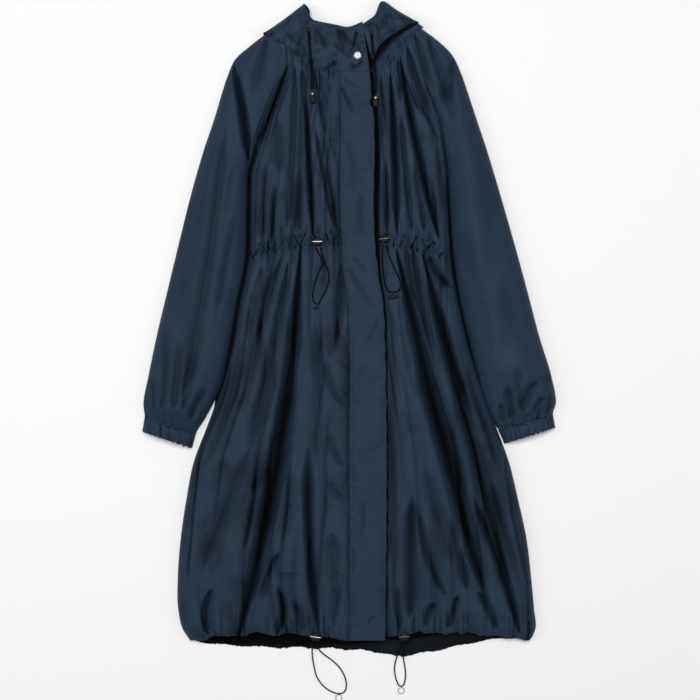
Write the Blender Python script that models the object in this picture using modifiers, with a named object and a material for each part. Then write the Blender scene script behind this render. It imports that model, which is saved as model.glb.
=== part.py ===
"""A hooded raincoat, laid flat on its back: every cut piece of cloth, its cord locks and its elastic cords.

The coat lies on the plane z = 0 with its hood towards +Y and its hem towards -Y. Its own right side is at -X.
Lengths are in metres.
"""

from collections import namedtuple
from math import pi

import bmesh
import bpy
import numpy as np

# ---- Driving dimensions -------------------------------------------------------------------------------------

CLOTH = 0.0012  # the wall of every cut piece
SEAM_GAP = 0.0003  # between two pieces that are sewn together
UNDER = 0.0026  # lowest edge of an upper layer, just clear of the layer that it lies on
VALLEY = 0.0100  # the lowest that a fold of the fronts sinks, so that the coat stays hollow
SIDE_ROLL = 0.034  # how far in from a side the front layer reaches its loft
SEAM_ROLL = 0.022  # the same beside the storm flap and the raglan seams

HEM_CASING = 0.0274  # height of the hem's drawcord casing
FRONT_HEM_Y = -0.545
WAIST_LOW_Y = 0.1220  # lower and upper stitching of the waist casing, at the side seam
WAIST_HIGH_Y = 0.1420
UNDERARM_Y = 0.271
FLAP_UNDERLAP = 0.010  # how far the left front runs beneath the storm flap, measured from the flap's seam
FLAP_DROP = 0.0020  # how far it stays below the flap
FLAP_CLEAR = 0.0015  # and how far beyond the flap's edge it does so
SLEEVE_ROLL = 0.48  # share of a sleeve's width over which its edge rolls up
RAGLAN_ROLL = 0.30  # the same beside the raglan seam

HOOD_PACK = 0.0045  # thickness of the hood's back part, folded flat beneath the coat
PACK_CLEAR = 0.0008  # between it and the back
PACK_RAMP = 0.026  # length over which the back climbs onto it from below
PACK_SIDE = 0.011  # and from the sides
HOOD_LOFT = 0.024
HOOD_LOW_EDGE = 0.0012  # height of the hood's outline on its outer slope
HOOD_HIGH_EDGE = 0.0160  # and at the throat
HOOD_LOW_SHARES = (0.64, 0.38)  # the right outline is low up to the first share, the left beyond the second
HOOD_CORNER_CLEAR = (0.0004, 0.0012)  # room for the corner where hood, front and sleeve meet
COLLAR_EDGE = 0.0190

CORD = 0.0023  # diameter of the elastic cord
CORD_SIDES = 2  # bevel resolution of a cord's tube
SNAP = 0.0135  # diameter of the snap's cap
SNAP_HEIGHT = 0.0026
EYELET = 0.0085
EYELET_WIRE = 0.0013
BALL = 0.0076  # the round button of a hood cord lock
RING = 0.0120  # the wire ring on a hem cord
RING_WIRE = 0.0014
HOOD_LOCK = (0.0110, 0.0190, 0.0070)
WAIST_LOCK = (0.0150, 0.0135, 0.0070)
WAIST_BAR = (0.0180, 0.0030, 0.0022)
HEM_LOCK = (0.0170, 0.0140, 0.0070)
HEM_BAR = (0.0190, 0.0032, 0.0022)
KNOT = (0.0110, 0.0050, 0.0050)
LOCK_BEVEL = 0.0026
BAR_BEVEL = 0.0008
KNOT_BEVEL = 0.0020
BAR_LIFT = 0.0049  # from a lock's middle up to its bar's
BALL_SHIFT = 0.0060  # from a hood lock's middle towards the hood

FRONT_COLUMNS = 16
UNDER_COLUMNS = 3  # of a left front's columns, beneath the storm flap
FLAP_COLUMNS = 4
SKIRT_ROWS = 16
SIDE_ROWS = 4  # of the upper front, between the waist and the underarm
RAGLAN_ROWS = 7
BACK_ROWS = 14
BACK_SHARES = [0.0, 0.045, *np.linspace(0.12, 0.88, 9), 0.955, 1.0]
TOP_COLUMNS = 11  # of a sleeve's upper layer
BOTTOM_COLUMNS = 6
HOOD_ROWS = 5

RIGHT, LEFT = -1, 1  # the wearer's sides

# ---- Outline tables -----------------------------------------------------------------------------------------

Edge = namedtuple("Edge", "y right left")
SIDE_EDGE = [  # the side seams, hem to underarm
    Edge(-0.545, -0.277, 0.316),
    Edge(-0.525, -0.290, 0.325),
    Edge(-0.491, -0.298, 0.323),
    Edge(-0.438, -0.299, 0.318),
    Edge(-0.369, -0.294, 0.310),
    Edge(-0.299, -0.284, 0.295),
    Edge(-0.230, -0.270, 0.276),
    Edge(-0.177, -0.250, 0.251),
    Edge(-0.108, -0.221, 0.227),
    Edge(-0.038, -0.205, 0.209),
    Edge(0.045, -0.192, 0.190),
    Edge(0.087, -0.182, 0.183),
    Edge(0.132, -0.169, 0.178),
    Edge(0.188, -0.169, 0.174),
    Edge(0.271, -0.168, 0.172),
]

Seam = namedtuple("Seam", "right_x right_y left_x left_y z")
RAGLAN = [  # the raglan seams, underarm to neck
    Seam(-0.168, 0.271, 0.172, 0.271, 0.0026),
    Seam(-0.159, 0.318, 0.165, 0.318, 0.0125),
    Seam(-0.146, 0.367, 0.156, 0.367, 0.0165),
    Seam(-0.129, 0.409, 0.140, 0.408, 0.0185),
    Seam(-0.109, 0.458, 0.121, 0.462, 0.0190),
    Seam(-0.110, 0.491, 0.108, 0.505, 0.0185),
]

Link = namedtuple("Link", "side_y centre_y bow_right bow_left")
ROW_LINK = [  # which height at the centre a row that starts at side_y reaches, and how far it bows upwards
    Link(-0.545, -0.545, 0.013, 0.015),
    Link(-0.400, -0.400, 0.004, 0.004),
    Link(0.132, 0.160, 0.006, 0.006),
    Link(0.271, 0.290, 0.000, 0.000),
    Link(0.491, 0.445, -0.017, -0.023),
]

Line = namedtuple("Line", "y x")
FLAP_SEAM = [  # where the storm flap is sewn to the right front
    Line(-0.545, 0.000),
    Line(-0.233, 0.000),
    Line(0.049, -0.003),
    Line(0.131, -0.011),
    Line(0.445, -0.015),
]
FLAP_EDGE = [  # the storm flap's free edge
    Line(-0.545, 0.064),
    Line(-0.136, 0.065),
    Line(-0.038, 0.063),
    Line(0.045, 0.059),
    Line(0.087, 0.052),
    Line(0.129, 0.047),
    Line(0.171, 0.044),
    Line(0.360, 0.0435),
    Line(0.445, 0.0360),
]

Loft = namedtuple("Loft", "y panel centre")
LOFT = [  # height of the fronts between folds, and of the storm flap
    Loft(-0.545, 0.019, 0.0150),
    Loft(-0.490, 0.024, 0.0170),
    Loft(-0.300, 0.028, 0.0185),
    Loft(0.000, 0.027, 0.0185),
    Loft(0.120, 0.021, 0.0175),
    Loft(0.180, 0.022, 0.0175),
    Loft(0.300, 0.025, 0.0190),
    Loft(0.445, 0.022, 0.0200),
    Loft(0.510, 0.021, 0.0200),
]

Fold = namedtuple("Fold", "top_x top_y mid_x mid_y end_x end_y width depth")
FOLDS = [  # the deepest folds of the fronts: the line of each valley, its half width and its depth
    Fold(-0.084, 0.148, -0.103, -0.094, -0.184, -0.517, 0.012, 0.017),
    Fold(-0.115, 0.129, -0.157, -0.010, -0.184, -0.150, 0.012, 0.009),
    Fold(-0.068, -0.212, -0.070, -0.357, -0.052, -0.517, 0.011, 0.014),
    Fold(-0.172, -0.212, -0.221, -0.334, -0.259, -0.430, 0.013, 0.010),
    Fold(-0.094, 0.454, -0.097, 0.275, -0.108, 0.174, 0.009, 0.010),
    Fold(-0.073, 0.379, -0.066, 0.280, -0.061, 0.165, 0.009, 0.011),
    Fold(0.075, 0.440, 0.085, 0.310, 0.087, 0.165, 0.009, 0.011),
    Fold(0.089, 0.470, 0.125, 0.305, 0.164, 0.144, 0.010, 0.013),
    Fold(0.082, 0.134, 0.143, -0.122, 0.240, -0.468, 0.012, 0.017),
    Fold(0.127, 0.134, 0.176, -0.052, 0.280, -0.452, 0.012, 0.012),
    Fold(0.211, -0.294, 0.275, -0.444, 0.292, -0.517, 0.012, 0.011),
]
FOLD_FADE = 0.050  # a fold comes and goes over this length

Station = namedtuple("Station", "outer_x outer_y inner_x inner_y loft")
SLEEVE_RIGHT = [  # sections of the right sleeve below the underarm, from the cuff's edge
    Station(-0.361, -0.180, -0.274, -0.209, 0.020),
    Station(-0.357, -0.156, -0.267, -0.183, 0.021),
    Station(-0.359, -0.132, -0.251, -0.157, 0.036),
    Station(-0.351, -0.087, -0.228, -0.106, 0.041),
    Station(-0.336, -0.014, -0.211, -0.038, 0.039),
    Station(-0.317, 0.066, -0.1965, 0.040, 0.038),
    Station(-0.296, 0.153, -0.176, 0.115, 0.037),
    Station(-0.275, 0.237, -0.1725, 0.205, 0.036),
]
SLEEVE_LEFT = [
    Station(0.360, -0.173, 0.271, -0.201, 0.020),
    Station(0.356, -0.150, 0.260, -0.176, 0.021),
    Station(0.361, -0.130, 0.246, -0.153, 0.036),
    Station(0.354, -0.087, 0.232, -0.108, 0.041),
    Station(0.332, -0.014, 0.214, -0.038, 0.039),
    Station(0.311, 0.066, 0.1955, 0.040, 0.038),
    Station(0.288, 0.150, 0.183, 0.115, 0.037),
    Station(0.263, 0.237, 0.177, 0.205, 0.036),
]
Shoulder = namedtuple("Shoulder", "right_x right_y left_x left_y loft")
SHOULDER = [  # the fold along the top of the sleeve, underarm level to neck
    Shoulder(-0.254, 0.310, 0.241, 0.310, 0.034),
    Shoulder(-0.231, 0.379, 0.219, 0.376, 0.032),
    Shoulder(-0.214, 0.435, 0.199, 0.435, 0.030),
    Shoulder(-0.196, 0.473, 0.185, 0.470, 0.028),
    Shoulder(-0.171, 0.494, 0.158, 0.499, 0.026),
    Shoulder(-0.148, 0.512, 0.125, 0.524, 0.022),
]

Point = namedtuple("Point", "x y")
HOOD_RIGHT_TOP = [  # upper outline of the hood's right side, from the shoulder over its peak to the throat
    Point(-0.145, 0.515),
    Point(-0.111, 0.541),
    Point(-0.078, 0.567),
    Point(-0.066, 0.550),
    Point(-0.063, 0.537),
]
COLLAR_TOP = [
    Point(-0.062, 0.5365),
    Point(-0.050, 0.533),
    Point(-0.024, 0.528),
    Point(-0.003, 0.524),
    Point(0.023, 0.533),
]
HOOD_LEFT_TOP = [  # upper outline of the hood's left side, from the throat over its peak to the shoulder
    Point(0.0255, 0.530),
    Point(0.043, 0.543),
    Point(0.052, 0.557),
    Point(0.057, 0.571),
    Point(0.084, 0.555),
    Point(0.121, 0.532),
]
Way = namedtuple("Way", "x y z")
HOOD_SHOULDER_RIGHT = [Way(-0.1440, 0.5130, 0.0150), Way(-0.1260, 0.5035, 0.0190)]  # beyond the neck seam
HOOD_SHOULDER_LEFT = [Way(0.1120, 0.5100, 0.0190), Way(0.1230, 0.5235, 0.0150)]
BACK_HEM = [  # the back's lower edge
    Point(-0.276, -0.545),
    Point(-0.212, -0.553),
    Point(-0.125, -0.557),
    Point(-0.010, -0.560),
    Point(0.059, -0.567),
    Point(0.086, -0.5725),
    Point(0.127, -0.567),
    Point(0.202, -0.552),
    Point(0.259, -0.542),
    Point(0.314, -0.540),
]
HOOD_PACK_OUTLINE = [  # the folded hood beneath the neck, with an ear under each of its sides
    Point(-0.098, 0.503),
    Point(-0.120, 0.514),
    Point(-0.079, 0.553),
    Point(-0.070, 0.537),
    Point(-0.048, 0.525),
    Point(-0.003, 0.516),
    Point(0.024, 0.522),
    Point(0.046, 0.534),
    Point(0.060, 0.559),
    Point(0.083, 0.546),
    Point(0.106, 0.531),
    Point(0.094, 0.510),
    Point(0.096, 0.470),
    Point(0.104, 0.430),
    Point(0.110, 0.380),
    Point(0.084, 0.336),
    Point(0.000, 0.322),
    Point(-0.084, 0.336),
    Point(-0.104, 0.380),
    Point(-0.098, 0.430),
    Point(-0.088, 0.470),
]

# ---- Cord tables --------------------------------------------------------------------------------------------

HOOD_CORDS = {  # the two strands of each hood cord, from the eyelet down to the lock
    "hood_cord_right_inner": [
        Way(-0.0688, 0.5150, 0.0272),
        Way(-0.0668, 0.4920, 0.0272),
        Way(-0.0650, 0.4660, 0.0270),
        Way(-0.0628, 0.4400, 0.0272),
        Way(-0.0618, 0.4135, 0.0280),
    ],
    "hood_cord_right_outer": [
        Way(-0.0713, 0.5150, 0.0272),
        Way(-0.0700, 0.4920, 0.0272),
        Way(-0.0680, 0.4660, 0.0270),
        Way(-0.0660, 0.4400, 0.0272),
        Way(-0.0650, 0.4135, 0.0280),
    ],
    "hood_cord_left_inner": [
        Way(0.0377, 0.5110, 0.0272),
        Way(0.0395, 0.4850, 0.0272),
        Way(0.0413, 0.4580, 0.0270),
        Way(0.0427, 0.4320, 0.0272),
        Way(0.0442, 0.4065, 0.0280),
    ],
    "hood_cord_left_outer": [
        Way(0.0403, 0.5110, 0.0272),
        Way(0.0428, 0.4850, 0.0272),
        Way(0.0452, 0.4580, 0.0270),
        Way(0.0464, 0.4320, 0.0272),
        Way(0.0472, 0.4065, 0.0280),
    ],
}
WAIST_CORDS = {  # each waist cord leaves its lock, turns at its knot and comes back
    "waist_cord_right": [
        Way(-0.0588, 0.1405, 0.0250),
        Way(-0.0525, 0.1290, 0.0258),
        Way(-0.0440, 0.1160, 0.0292),
        Way(-0.0378, 0.1040, 0.0300),
        Way(-0.0352, 0.0920, 0.0300),
        Way(-0.0362, 0.0790, 0.0300),
        Way(-0.0410, 0.0640, 0.0300),
        Way(-0.0478, 0.0520, 0.0300),
        Way(-0.0545, 0.0415, 0.0300),
        Way(-0.0610, 0.0450, 0.0300),
        Way(-0.0628, 0.0570, 0.0300),
        Way(-0.0610, 0.0720, 0.0300),
        Way(-0.0560, 0.0890, 0.0298),
        Way(-0.0500, 0.1020, 0.0280),
        Way(-0.0448, 0.1130, 0.0258),
        Way(-0.0460, 0.1270, 0.0254),
        Way(-0.0500, 0.1405, 0.0250),
    ],
    "waist_cord_left": [
        Way(0.0645, 0.1455, 0.0250),
        Way(0.0680, 0.1300, 0.0258),
        Way(0.0745, 0.1130, 0.0282),
        Way(0.0820, 0.0970, 0.0298),
        Way(0.0880, 0.0840, 0.0300),
        Way(0.0905, 0.0745, 0.0300),
        Way(0.0865, 0.0660, 0.0300),
        Way(0.0780, 0.0620, 0.0300),
        Way(0.0690, 0.0640, 0.0300),
        Way(0.0635, 0.0720, 0.0300),
        Way(0.0610, 0.0850, 0.0300),
        Way(0.0590, 0.1020, 0.0292),
        Way(0.0578, 0.1180, 0.0275),
        Way(0.0580, 0.1320, 0.0258),
        Way(0.0585, 0.1455, 0.0250),
    ],
}
HEM_CORDS = {  # each hem cord leaves its lock, lies on the ground round its ring and comes back
    "hem_cord_right": [
        Way(-0.0630, -0.5455, 0.0175),
        Way(-0.0640, -0.5530, 0.0110),
        Way(-0.0645, -0.5620, 0.0050),
        Way(-0.0640, -0.5730, 0.0016),
        Way(-0.0618, -0.5870, 0.0014),
        Way(-0.0560, -0.6090, 0.0014),
        Way(-0.0450, -0.6245, 0.0014),
        Way(-0.0330, -0.6330, 0.0014),
        Way(-0.0210, -0.6375, 0.0014),
        Way(-0.0130, -0.6375, 0.0014),
        Way(-0.0070, -0.6330, 0.0014),
        Way(-0.0048, -0.6230, 0.0014),
        Way(-0.0085, -0.6060, 0.0014),
        Way(-0.0170, -0.5920, 0.0014),
        Way(-0.0300, -0.5795, 0.0014),
        Way(-0.0430, -0.5700, 0.0024),
        Way(-0.0510, -0.5620, 0.0055),
        Way(-0.0545, -0.5540, 0.0110),
        Way(-0.0560, -0.5455, 0.0175),
    ],
    "hem_cord_left": [
        Way(0.0920, -0.5450, 0.0175),
        Way(0.0895, -0.5530, 0.0115),
        Way(0.0865, -0.5625, 0.0060),
        Way(0.0838, -0.5720, 0.0034),
        Way(0.0812, -0.5810, 0.0016),
        Way(0.0795, -0.5900, 0.0014),
        Way(0.0802, -0.6040, 0.0014),
        Way(0.0835, -0.6165, 0.0014),
        Way(0.0885, -0.6245, 0.0014),
        Way(0.0935, -0.6243, 0.0014),
        Way(0.0972, -0.6165, 0.0014),
        Way(0.0985, -0.6030, 0.0014),
        Way(0.0972, -0.5900, 0.0014),
        Way(0.0955, -0.5800, 0.0017),
        Way(0.0945, -0.5710, 0.0036),
        Way(0.0955, -0.5620, 0.0062),
        Way(0.0975, -0.5530, 0.0115),
        Way(0.0990, -0.5450, 0.0175),
    ],
}
CORD_POINTS = {"hood": 13, "waist": 34, "hem": 40}  # points along each tube

Spot = namedtuple("Spot", "name x y z turn")
HOOD_LOCKS = [
    Spot("right", -0.0632, 0.3990, 0.0290, 0.04),
    Spot("left", 0.0462, 0.3925, 0.0290, -0.03),
]
WAIST_LOCKS = [
    Spot("right", -0.0550, 0.1500, 0.0270, 0.02),
    Spot("left", 0.0610, 0.1550, 0.0270, 0.10),
]
HEM_LOCKS = [
    Spot("right", -0.0580, -0.5360, 0.0245, -0.14),
    Spot("left", 0.0960, -0.5355, 0.0245, 0.10),
]
EYELETS = [Spot("right", -0.0700, 0.5185, 0.0252, 0.0), Spot("left", 0.0390, 0.5145, 0.0252, 0.0)]
SNAP_SPOT = Spot("cap", 0.0148, 0.4735, 0.0243, 0.0)
KNOTS = [Spot("right", -0.0570, 0.0352, 0.0290, 0.3), Spot("left", 0.0765, 0.0545, 0.0290, 0.1)]
RINGS = [Spot("right", -0.0180, -0.6452, 0.0010, 0.0), Spot("left", 0.0910, -0.6326, 0.0010, 0.0)]

# ---- Scene and materials ------------------------------------------------------------------------------------


def clear_scene():
    for thing in list(bpy.data.objects):
        bpy.data.objects.remove(thing)


def principled(name, colour, roughness, metallic=0.0):
    made = bpy.data.materials.new(name)
    made.use_nodes = True
    shader = made.node_tree.nodes["Principled BSDF"]
    shader.inputs["Base Color"].default_value = (*colour, 1.0)
    shader.inputs["Roughness"].default_value = roughness
    shader.inputs["Metallic"].default_value = metallic
    return made


# ---- Curves and heights -------------------------------------------------------------------------------------


def smooth_line(points, shares):
    """Points at the given shares of a line's length: a cubic through its own points, tangent to its chords."""
    points = np.asarray(points, float)
    chords = np.linalg.norm(np.diff(points, axis=0), axis=1)
    along = np.concatenate([[0.0], np.cumsum(chords)])
    at = np.clip(np.asarray(shares, float), 0.0, 1.0) * along[-1]
    slopes = np.gradient(points, along, axis=0)
    i = np.clip(np.searchsorted(along, at, side="right") - 1, 0, len(chords) - 1)
    span = chords[i][:, None]
    t = ((at - along[i]) / chords[i])[:, None]
    start = (1 + 2 * t) * (1 - t) ** 2 * points[i] + t * (1 - t) ** 2 * span * slopes[i]
    end = t**2 * (3 - 2 * t) * points[i + 1] - t**2 * (1 - t) * span * slopes[i + 1]
    return start + end


def column(table, name):
    return np.array([getattr(row, name) for row in table])


def along_y(table, name, y):
    return np.interp(y, column(table, "y"), column(table, name))


def roll(distance, radius):
    """Share of the full height that a rolled edge reaches at this distance from it: a quarter circle."""
    t = np.clip(distance / radius, 0.0, 1.0)
    return np.sqrt(1.0 - (1.0 - t) ** 2)


def arch(loft, first, first_z, second, second_z, radius):
    """Height between two rolled edges, each given by the distance to it and its own height."""
    down_first = (loft - first_z) * (1.0 - roll(first, radius[0]))
    down_second = (loft - second_z) * (1.0 - roll(second, radius[1]))
    return loft - down_first - down_second


def side_name(side):
    return "right" if side == RIGHT else "left"


def raglan(side):
    """The raglan seam of one side as points with their heights, underarm to neck."""
    name = side_name(side)
    ends = np.stack([column(RAGLAN, f"{name}_x"), column(RAGLAN, f"{name}_y"), column(RAGLAN, "z")], axis=1)
    return smooth_line(ends, np.linspace(0.0, 1.0, RAGLAN_ROWS + 1))


def fold_depth(x, y):
    """How far the folds lower the fronts: each valley falls off to both sides of a parabola in y."""
    depth = np.zeros_like(x)
    for fold in FOLDS:
        knots = (fold.top_y, fold.mid_y, fold.end_y)
        line = np.poly1d(np.polyfit(knots, (fold.top_x, fold.mid_x, fold.end_x), 2))
        fade = np.clip((fold.top_y - y) / FOLD_FADE, 0, 1) * np.clip((y - fold.end_y) / FOLD_FADE, 0, 1)
        depth += fold.depth * fade * np.exp(-np.abs(x - line(y)) / fold.width)
    return depth


# ---- The fronts, the storm flap and the back ----------------------------------------------------------------


def centre_x(side, y):
    """Where a front ends at the centre: on the storm flap's seam, or beneath the flap."""
    seam = along_y(FLAP_SEAM, "x", y)
    return seam if side == RIGHT else seam + FLAP_UNDERLAP


def side_row(side, y):
    return (along_y(SIDE_EDGE, side_name(side), y), y, UNDER)


def front_rows(side, starts):
    """One row of a front for each start point at its side: (x, y, z), linked to its height at the centre."""
    even = np.linspace(0.0, 1.0, FRONT_COLUMNS + 1)
    rows = []
    for x, y, z in starts:
        link_y = column(ROW_LINK, "side_y")
        top_y = raglan(side)[-1][1]
        linked = np.where(link_y > UNDERARM_Y, top_y, link_y)
        end_y = np.interp(y, linked, column(ROW_LINK, "centre_y"))
        bow = np.interp(y, linked, column(ROW_LINK, f"bow_{side_name(side)}"))
        end_x = centre_x(side, end_y)
        centre_z = along_y(LOFT, "centre", end_y)
        shares = even
        if side == LEFT:
            clear_of_flap = (along_y(FLAP_EDGE, "x", end_y) + FLAP_CLEAR - x) / (end_x - x)
            last_clear = 1.0 - UNDER_COLUMNS / FRONT_COLUMNS
            shares = np.interp(even, (0.0, last_clear, 1.0), (0.0, clear_of_flap, 1.0))
            centre_z = centre_z - CLOTH - FLAP_DROP
        row_x = x + (end_x - x) * shares
        row_y = y + (end_y - y) * shares + 4 * bow * shares * (1 - shares)
        loft = along_y(LOFT, "panel", row_y)
        inward = np.abs(end_x - row_x)
        if side == LEFT:
            inward = np.maximum(0.0, (clear_of_flap - shares) * (x - end_x))
        base = arch(loft, np.abs(row_x - x), z, inward, centre_z, (SIDE_ROLL, SEAM_ROLL))
        sunk = np.where(base > VALLEY, np.maximum(base - fold_depth(row_x, row_y), VALLEY), base)
        keep = np.minimum(1.0, np.minimum(shares, 1 - shares) * FRONT_COLUMNS)
        rows.append(np.stack([row_x, row_y, base + (sunk - base) * keep], axis=1))
    grid = np.array(rows)
    return grid if side == RIGHT else grid[:, ::-1]


def front_pieces(side):
    """The four pieces of a front, from the hem up, as grids that share their columns."""
    hem_top = FRONT_HEM_Y + HEM_CASING
    spans = {
        "hem_casing": np.linspace(FRONT_HEM_Y, hem_top, 3),
        "skirt": np.linspace(hem_top + SEAM_GAP, WAIST_LOW_Y - SEAM_GAP, SKIRT_ROWS + 1),
        "waist_casing": np.linspace(WAIST_LOW_Y, WAIST_HIGH_Y, 3),
        "upper": np.linspace(WAIST_HIGH_Y + SEAM_GAP, UNDERARM_Y, SIDE_ROWS + 1),
    }
    pieces = {}
    for name, heights in spans.items():
        starts = [side_row(side, y) for y in heights]
        if name == "upper":
            starts += list(raglan(side)[1:])
        pieces[name] = front_rows(side, starts)
    return pieces


def storm_flap(right_front):
    """The flap over the opening: it starts a seam's gap from the right front, row by row."""
    shares = np.linspace(0.0, 1.0, FLAP_COLUMNS + 1)
    rows = []
    for x, y, z in right_front:
        end_x = along_y(FLAP_EDGE, "x", y)
        row_x = x + SEAM_GAP + (end_x - x - SEAM_GAP) * shares
        rows.append(np.stack([row_x, np.full_like(row_x, y), np.full_like(row_x, z)], axis=1))
    return np.array(rows)


def back_height(y, edge_distance):
    """The back lies on the ground, and on the folded hood near the neck."""
    up = np.clip((y - UNDERARM_Y) / PACK_RAMP, 0, 1) * np.clip(edge_distance / PACK_SIDE, 0, 1)
    return (HOOD_PACK + PACK_CLEAR) * up


def back_pieces():
    shares = np.array(BACK_SHARES)
    hem_x, hem_y = column(BACK_HEM, "x"), column(BACK_HEM, "y")
    body = {"back_hem_casing": [], "back": []}
    right_raglan, left_raglan = raglan(RIGHT), raglan(LEFT)

    def row(right_x, left_x, y_of):
        x = right_x + SEAM_GAP + (left_x - right_x - 2 * SEAM_GAP) * shares
        y = y_of(x)
        z = back_height(y, np.minimum(x - x[0], x[-1] - x))
        return np.stack([x, y, z], axis=1)

    hem_sides = (hem_x[0], hem_x[-1])
    for step in (0.0, HEM_CASING - SEAM_GAP):
        body["back_hem_casing"].append(row(*hem_sides, lambda x, s=step: np.interp(x, hem_x, hem_y) + s))
    body["back"].append(row(*hem_sides, lambda x: np.interp(x, hem_x, hem_y) + HEM_CASING))
    for y in np.linspace(FRONT_HEM_Y + 2 * HEM_CASING, UNDERARM_Y, BACK_ROWS):
        sides = (along_y(SIDE_EDGE, "right", y), along_y(SIDE_EDGE, "left", y))
        body["back"].append(row(*sides, lambda x, h=y: np.full_like(x, h)))
    for right, left in zip(right_raglan[1:], left_raglan[1:]):
        ends = (right[0], left[0])
        heights = (right[1], left[1])
        body["back"].append(row(*ends, lambda x, e=ends, h=heights: np.interp(x, e, h)))
    return {name: np.array(rows) for name, rows in body.items()}


# ---- The sleeves --------------------------------------------------------------------------------------------


def sleeve_stations(side):
    """Sections of a sleeve from its cuff to the neck: outer point, inner point, inner height and loft."""
    name = side_name(side)
    table = SLEEVE_RIGHT if side == RIGHT else SLEEVE_LEFT
    low = [((s.outer_x, s.outer_y), (s.inner_x, s.inner_y), UNDER, s.loft) for s in table]
    shoulder = np.stack([column(SHOULDER, f"{name}_x"), column(SHOULDER, f"{name}_y")], axis=1)
    shares = np.linspace(0.0, 1.0, RAGLAN_ROWS + 1)
    outer = smooth_line(shoulder, shares)
    loft = np.interp(shares, np.linspace(0, 1, len(SHOULDER)), column(SHOULDER, "loft"))
    high = []
    for point, (x, y, z), height in zip(outer, raglan(side), loft):
        high.append((tuple(point), (x + side * SEAM_GAP, y), z, height))
    return low + high


def sleeve_section(station):
    """One section: along the ground from the inner edge to the outer, then back over the loft."""
    outer, inner, inner_z, loft = station
    outer, inner = np.array(outer), np.array(inner)
    width = np.linalg.norm(inner - outer)
    below = np.linspace(1.0, 0.0, BOTTOM_COLUMNS + 1)[:-1]
    above = (1.0 - np.cos(np.linspace(0.0, pi, TOP_COLUMNS + 1))) / 2.0
    radius = (SLEEVE_ROLL * width, (SLEEVE_ROLL if inner_z < 2 * UNDER else RAGLAN_ROLL) * width)
    top = arch(loft, above * width, 0.0, (1.0 - above) * width, inner_z, radius)
    shares = np.concatenate([below, above])
    flat = outer + (inner - outer) * shares[:, None]
    return np.column_stack([flat, np.concatenate([np.zeros(len(below)), top])])


def sleeve_pieces(side):
    stations = sleeve_stations(side)
    sections = [sleeve_section(station) for station in stations]
    cuff = [sections[0], (sections[0] + sections[1]) / 2, sections[1]]
    (low_outer, low_inner, low_z, low_loft), above = stations[1], stations[2]
    towards = np.array(above[1]) - np.array(low_inner)
    step = towards / np.linalg.norm(towards) * SEAM_GAP * 1.5
    first = (tuple(np.array(low_outer) + step), tuple(np.array(low_inner) + step), low_z, low_loft)
    return {"cuff": np.array(cuff), "sleeve": np.array([sleeve_section(first)] + sections[2:])}


# ---- The hood and the collar --------------------------------------------------------------------------------


def hood_grid(lower, upper, edge_z):
    """Rows from a lower line up to an upper one: the loft rolls down to each outer point's own height."""
    shares = np.linspace(0.0, 1.0, HOOD_ROWS + 1) ** 0.8
    rows = []
    for share in shares:
        flat = lower[:, :2] + (upper - lower[:, :2]) * share
        length = np.linalg.norm(upper - lower[:, :2], axis=1)
        top = lower[:, 2] + (HOOD_LOFT - lower[:, 2]) * min(1.0, share * 2)
        fall = (top - edge_z) * (1.0 - roll((1.0 - share) * length, 0.5 * length))
        rows.append(np.column_stack([flat, top - fall]))
    return np.array(rows)


def hood_pieces(fronts, flap):
    """The two sides of the hood and the collar tab, each standing a seam's gap above the row that it is sewn to."""
    up = np.array([0.0, 2 * SEAM_GAP, 0.0])
    right_top = fronts[RIGHT]["upper"][-1]
    split = FRONT_COLUMNS // 2 - 1
    lower = np.concatenate([np.array(HOOD_SHOULDER_RIGHT), right_top[: split + 1] + up])
    lower[len(HOOD_SHOULDER_RIGHT), :2] += HOOD_CORNER_CLEAR
    outline = smooth_line(HOOD_RIGHT_TOP, np.linspace(0.0, 1.0, len(lower)))
    at = np.linspace(0.0, 1.0, len(lower))
    edge_z = np.where(at < HOOD_LOW_SHARES[0], HOOD_LOW_EDGE, HOOD_HIGH_EDGE)
    pieces = {"hood_right": hood_grid(lower, outline, edge_z)}

    tab_lower = np.concatenate([right_top[split:], flap[-1][1:]]) + up
    tab_lower[0, 0] += SEAM_GAP * 2
    tab_upper = smooth_line(COLLAR_TOP, np.linspace(0.0, 1.0, len(tab_lower)))
    pieces["collar_tab"] = hood_grid(tab_lower, tab_upper, np.full(len(tab_lower), COLLAR_EDGE))

    left_top = fronts[LEFT]["upper"][-1]
    start = int(np.searchsorted(left_top[:, 0], tab_lower[-1, 0] + 0.001))
    lower = np.concatenate([left_top[start:] + up, np.array(HOOD_SHOULDER_LEFT)])
    lower[-1 - len(HOOD_SHOULDER_LEFT), :2] += (-HOOD_CORNER_CLEAR[0], HOOD_CORNER_CLEAR[1])
    outline = smooth_line(HOOD_LEFT_TOP, np.linspace(0.0, 1.0, len(lower)))
    at = np.linspace(0.0, 1.0, len(lower))
    edge_z = np.where(at > HOOD_LOW_SHARES[1], HOOD_LOW_EDGE, HOOD_HIGH_EDGE)
    pieces["hood_left"] = hood_grid(lower, outline, edge_z)
    return pieces


# ---- Making the objects -------------------------------------------------------------------------------------


def link(made, material):
    made.data.materials.append(material)
    COLLECTION.objects.link(made)
    return made


def cloth_piece(name, grid, material, facing_down=False):
    """An open surface on a grid of points, given its wall by Solidify on its inner side."""
    rows, columns = grid.shape[:2]
    corner = (np.arange(rows - 1)[:, None] * columns + np.arange(columns - 1)).ravel()
    faces = np.stack([corner, corner + 1, corner + columns + 1, corner + columns], axis=1)
    mesh = bpy.data.meshes.new(name)
    mesh.from_pydata(grid.reshape(-1, 3).tolist(), [], (faces[:, ::-1] if facing_down else faces).tolist())
    mesh.shade_smooth()
    made = link(bpy.data.objects.new(name, mesh), material)
    wall = made.modifiers.new("wall", "SOLIDIFY")
    wall.thickness = CLOTH
    wall.offset = -1.0
    return made


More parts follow.
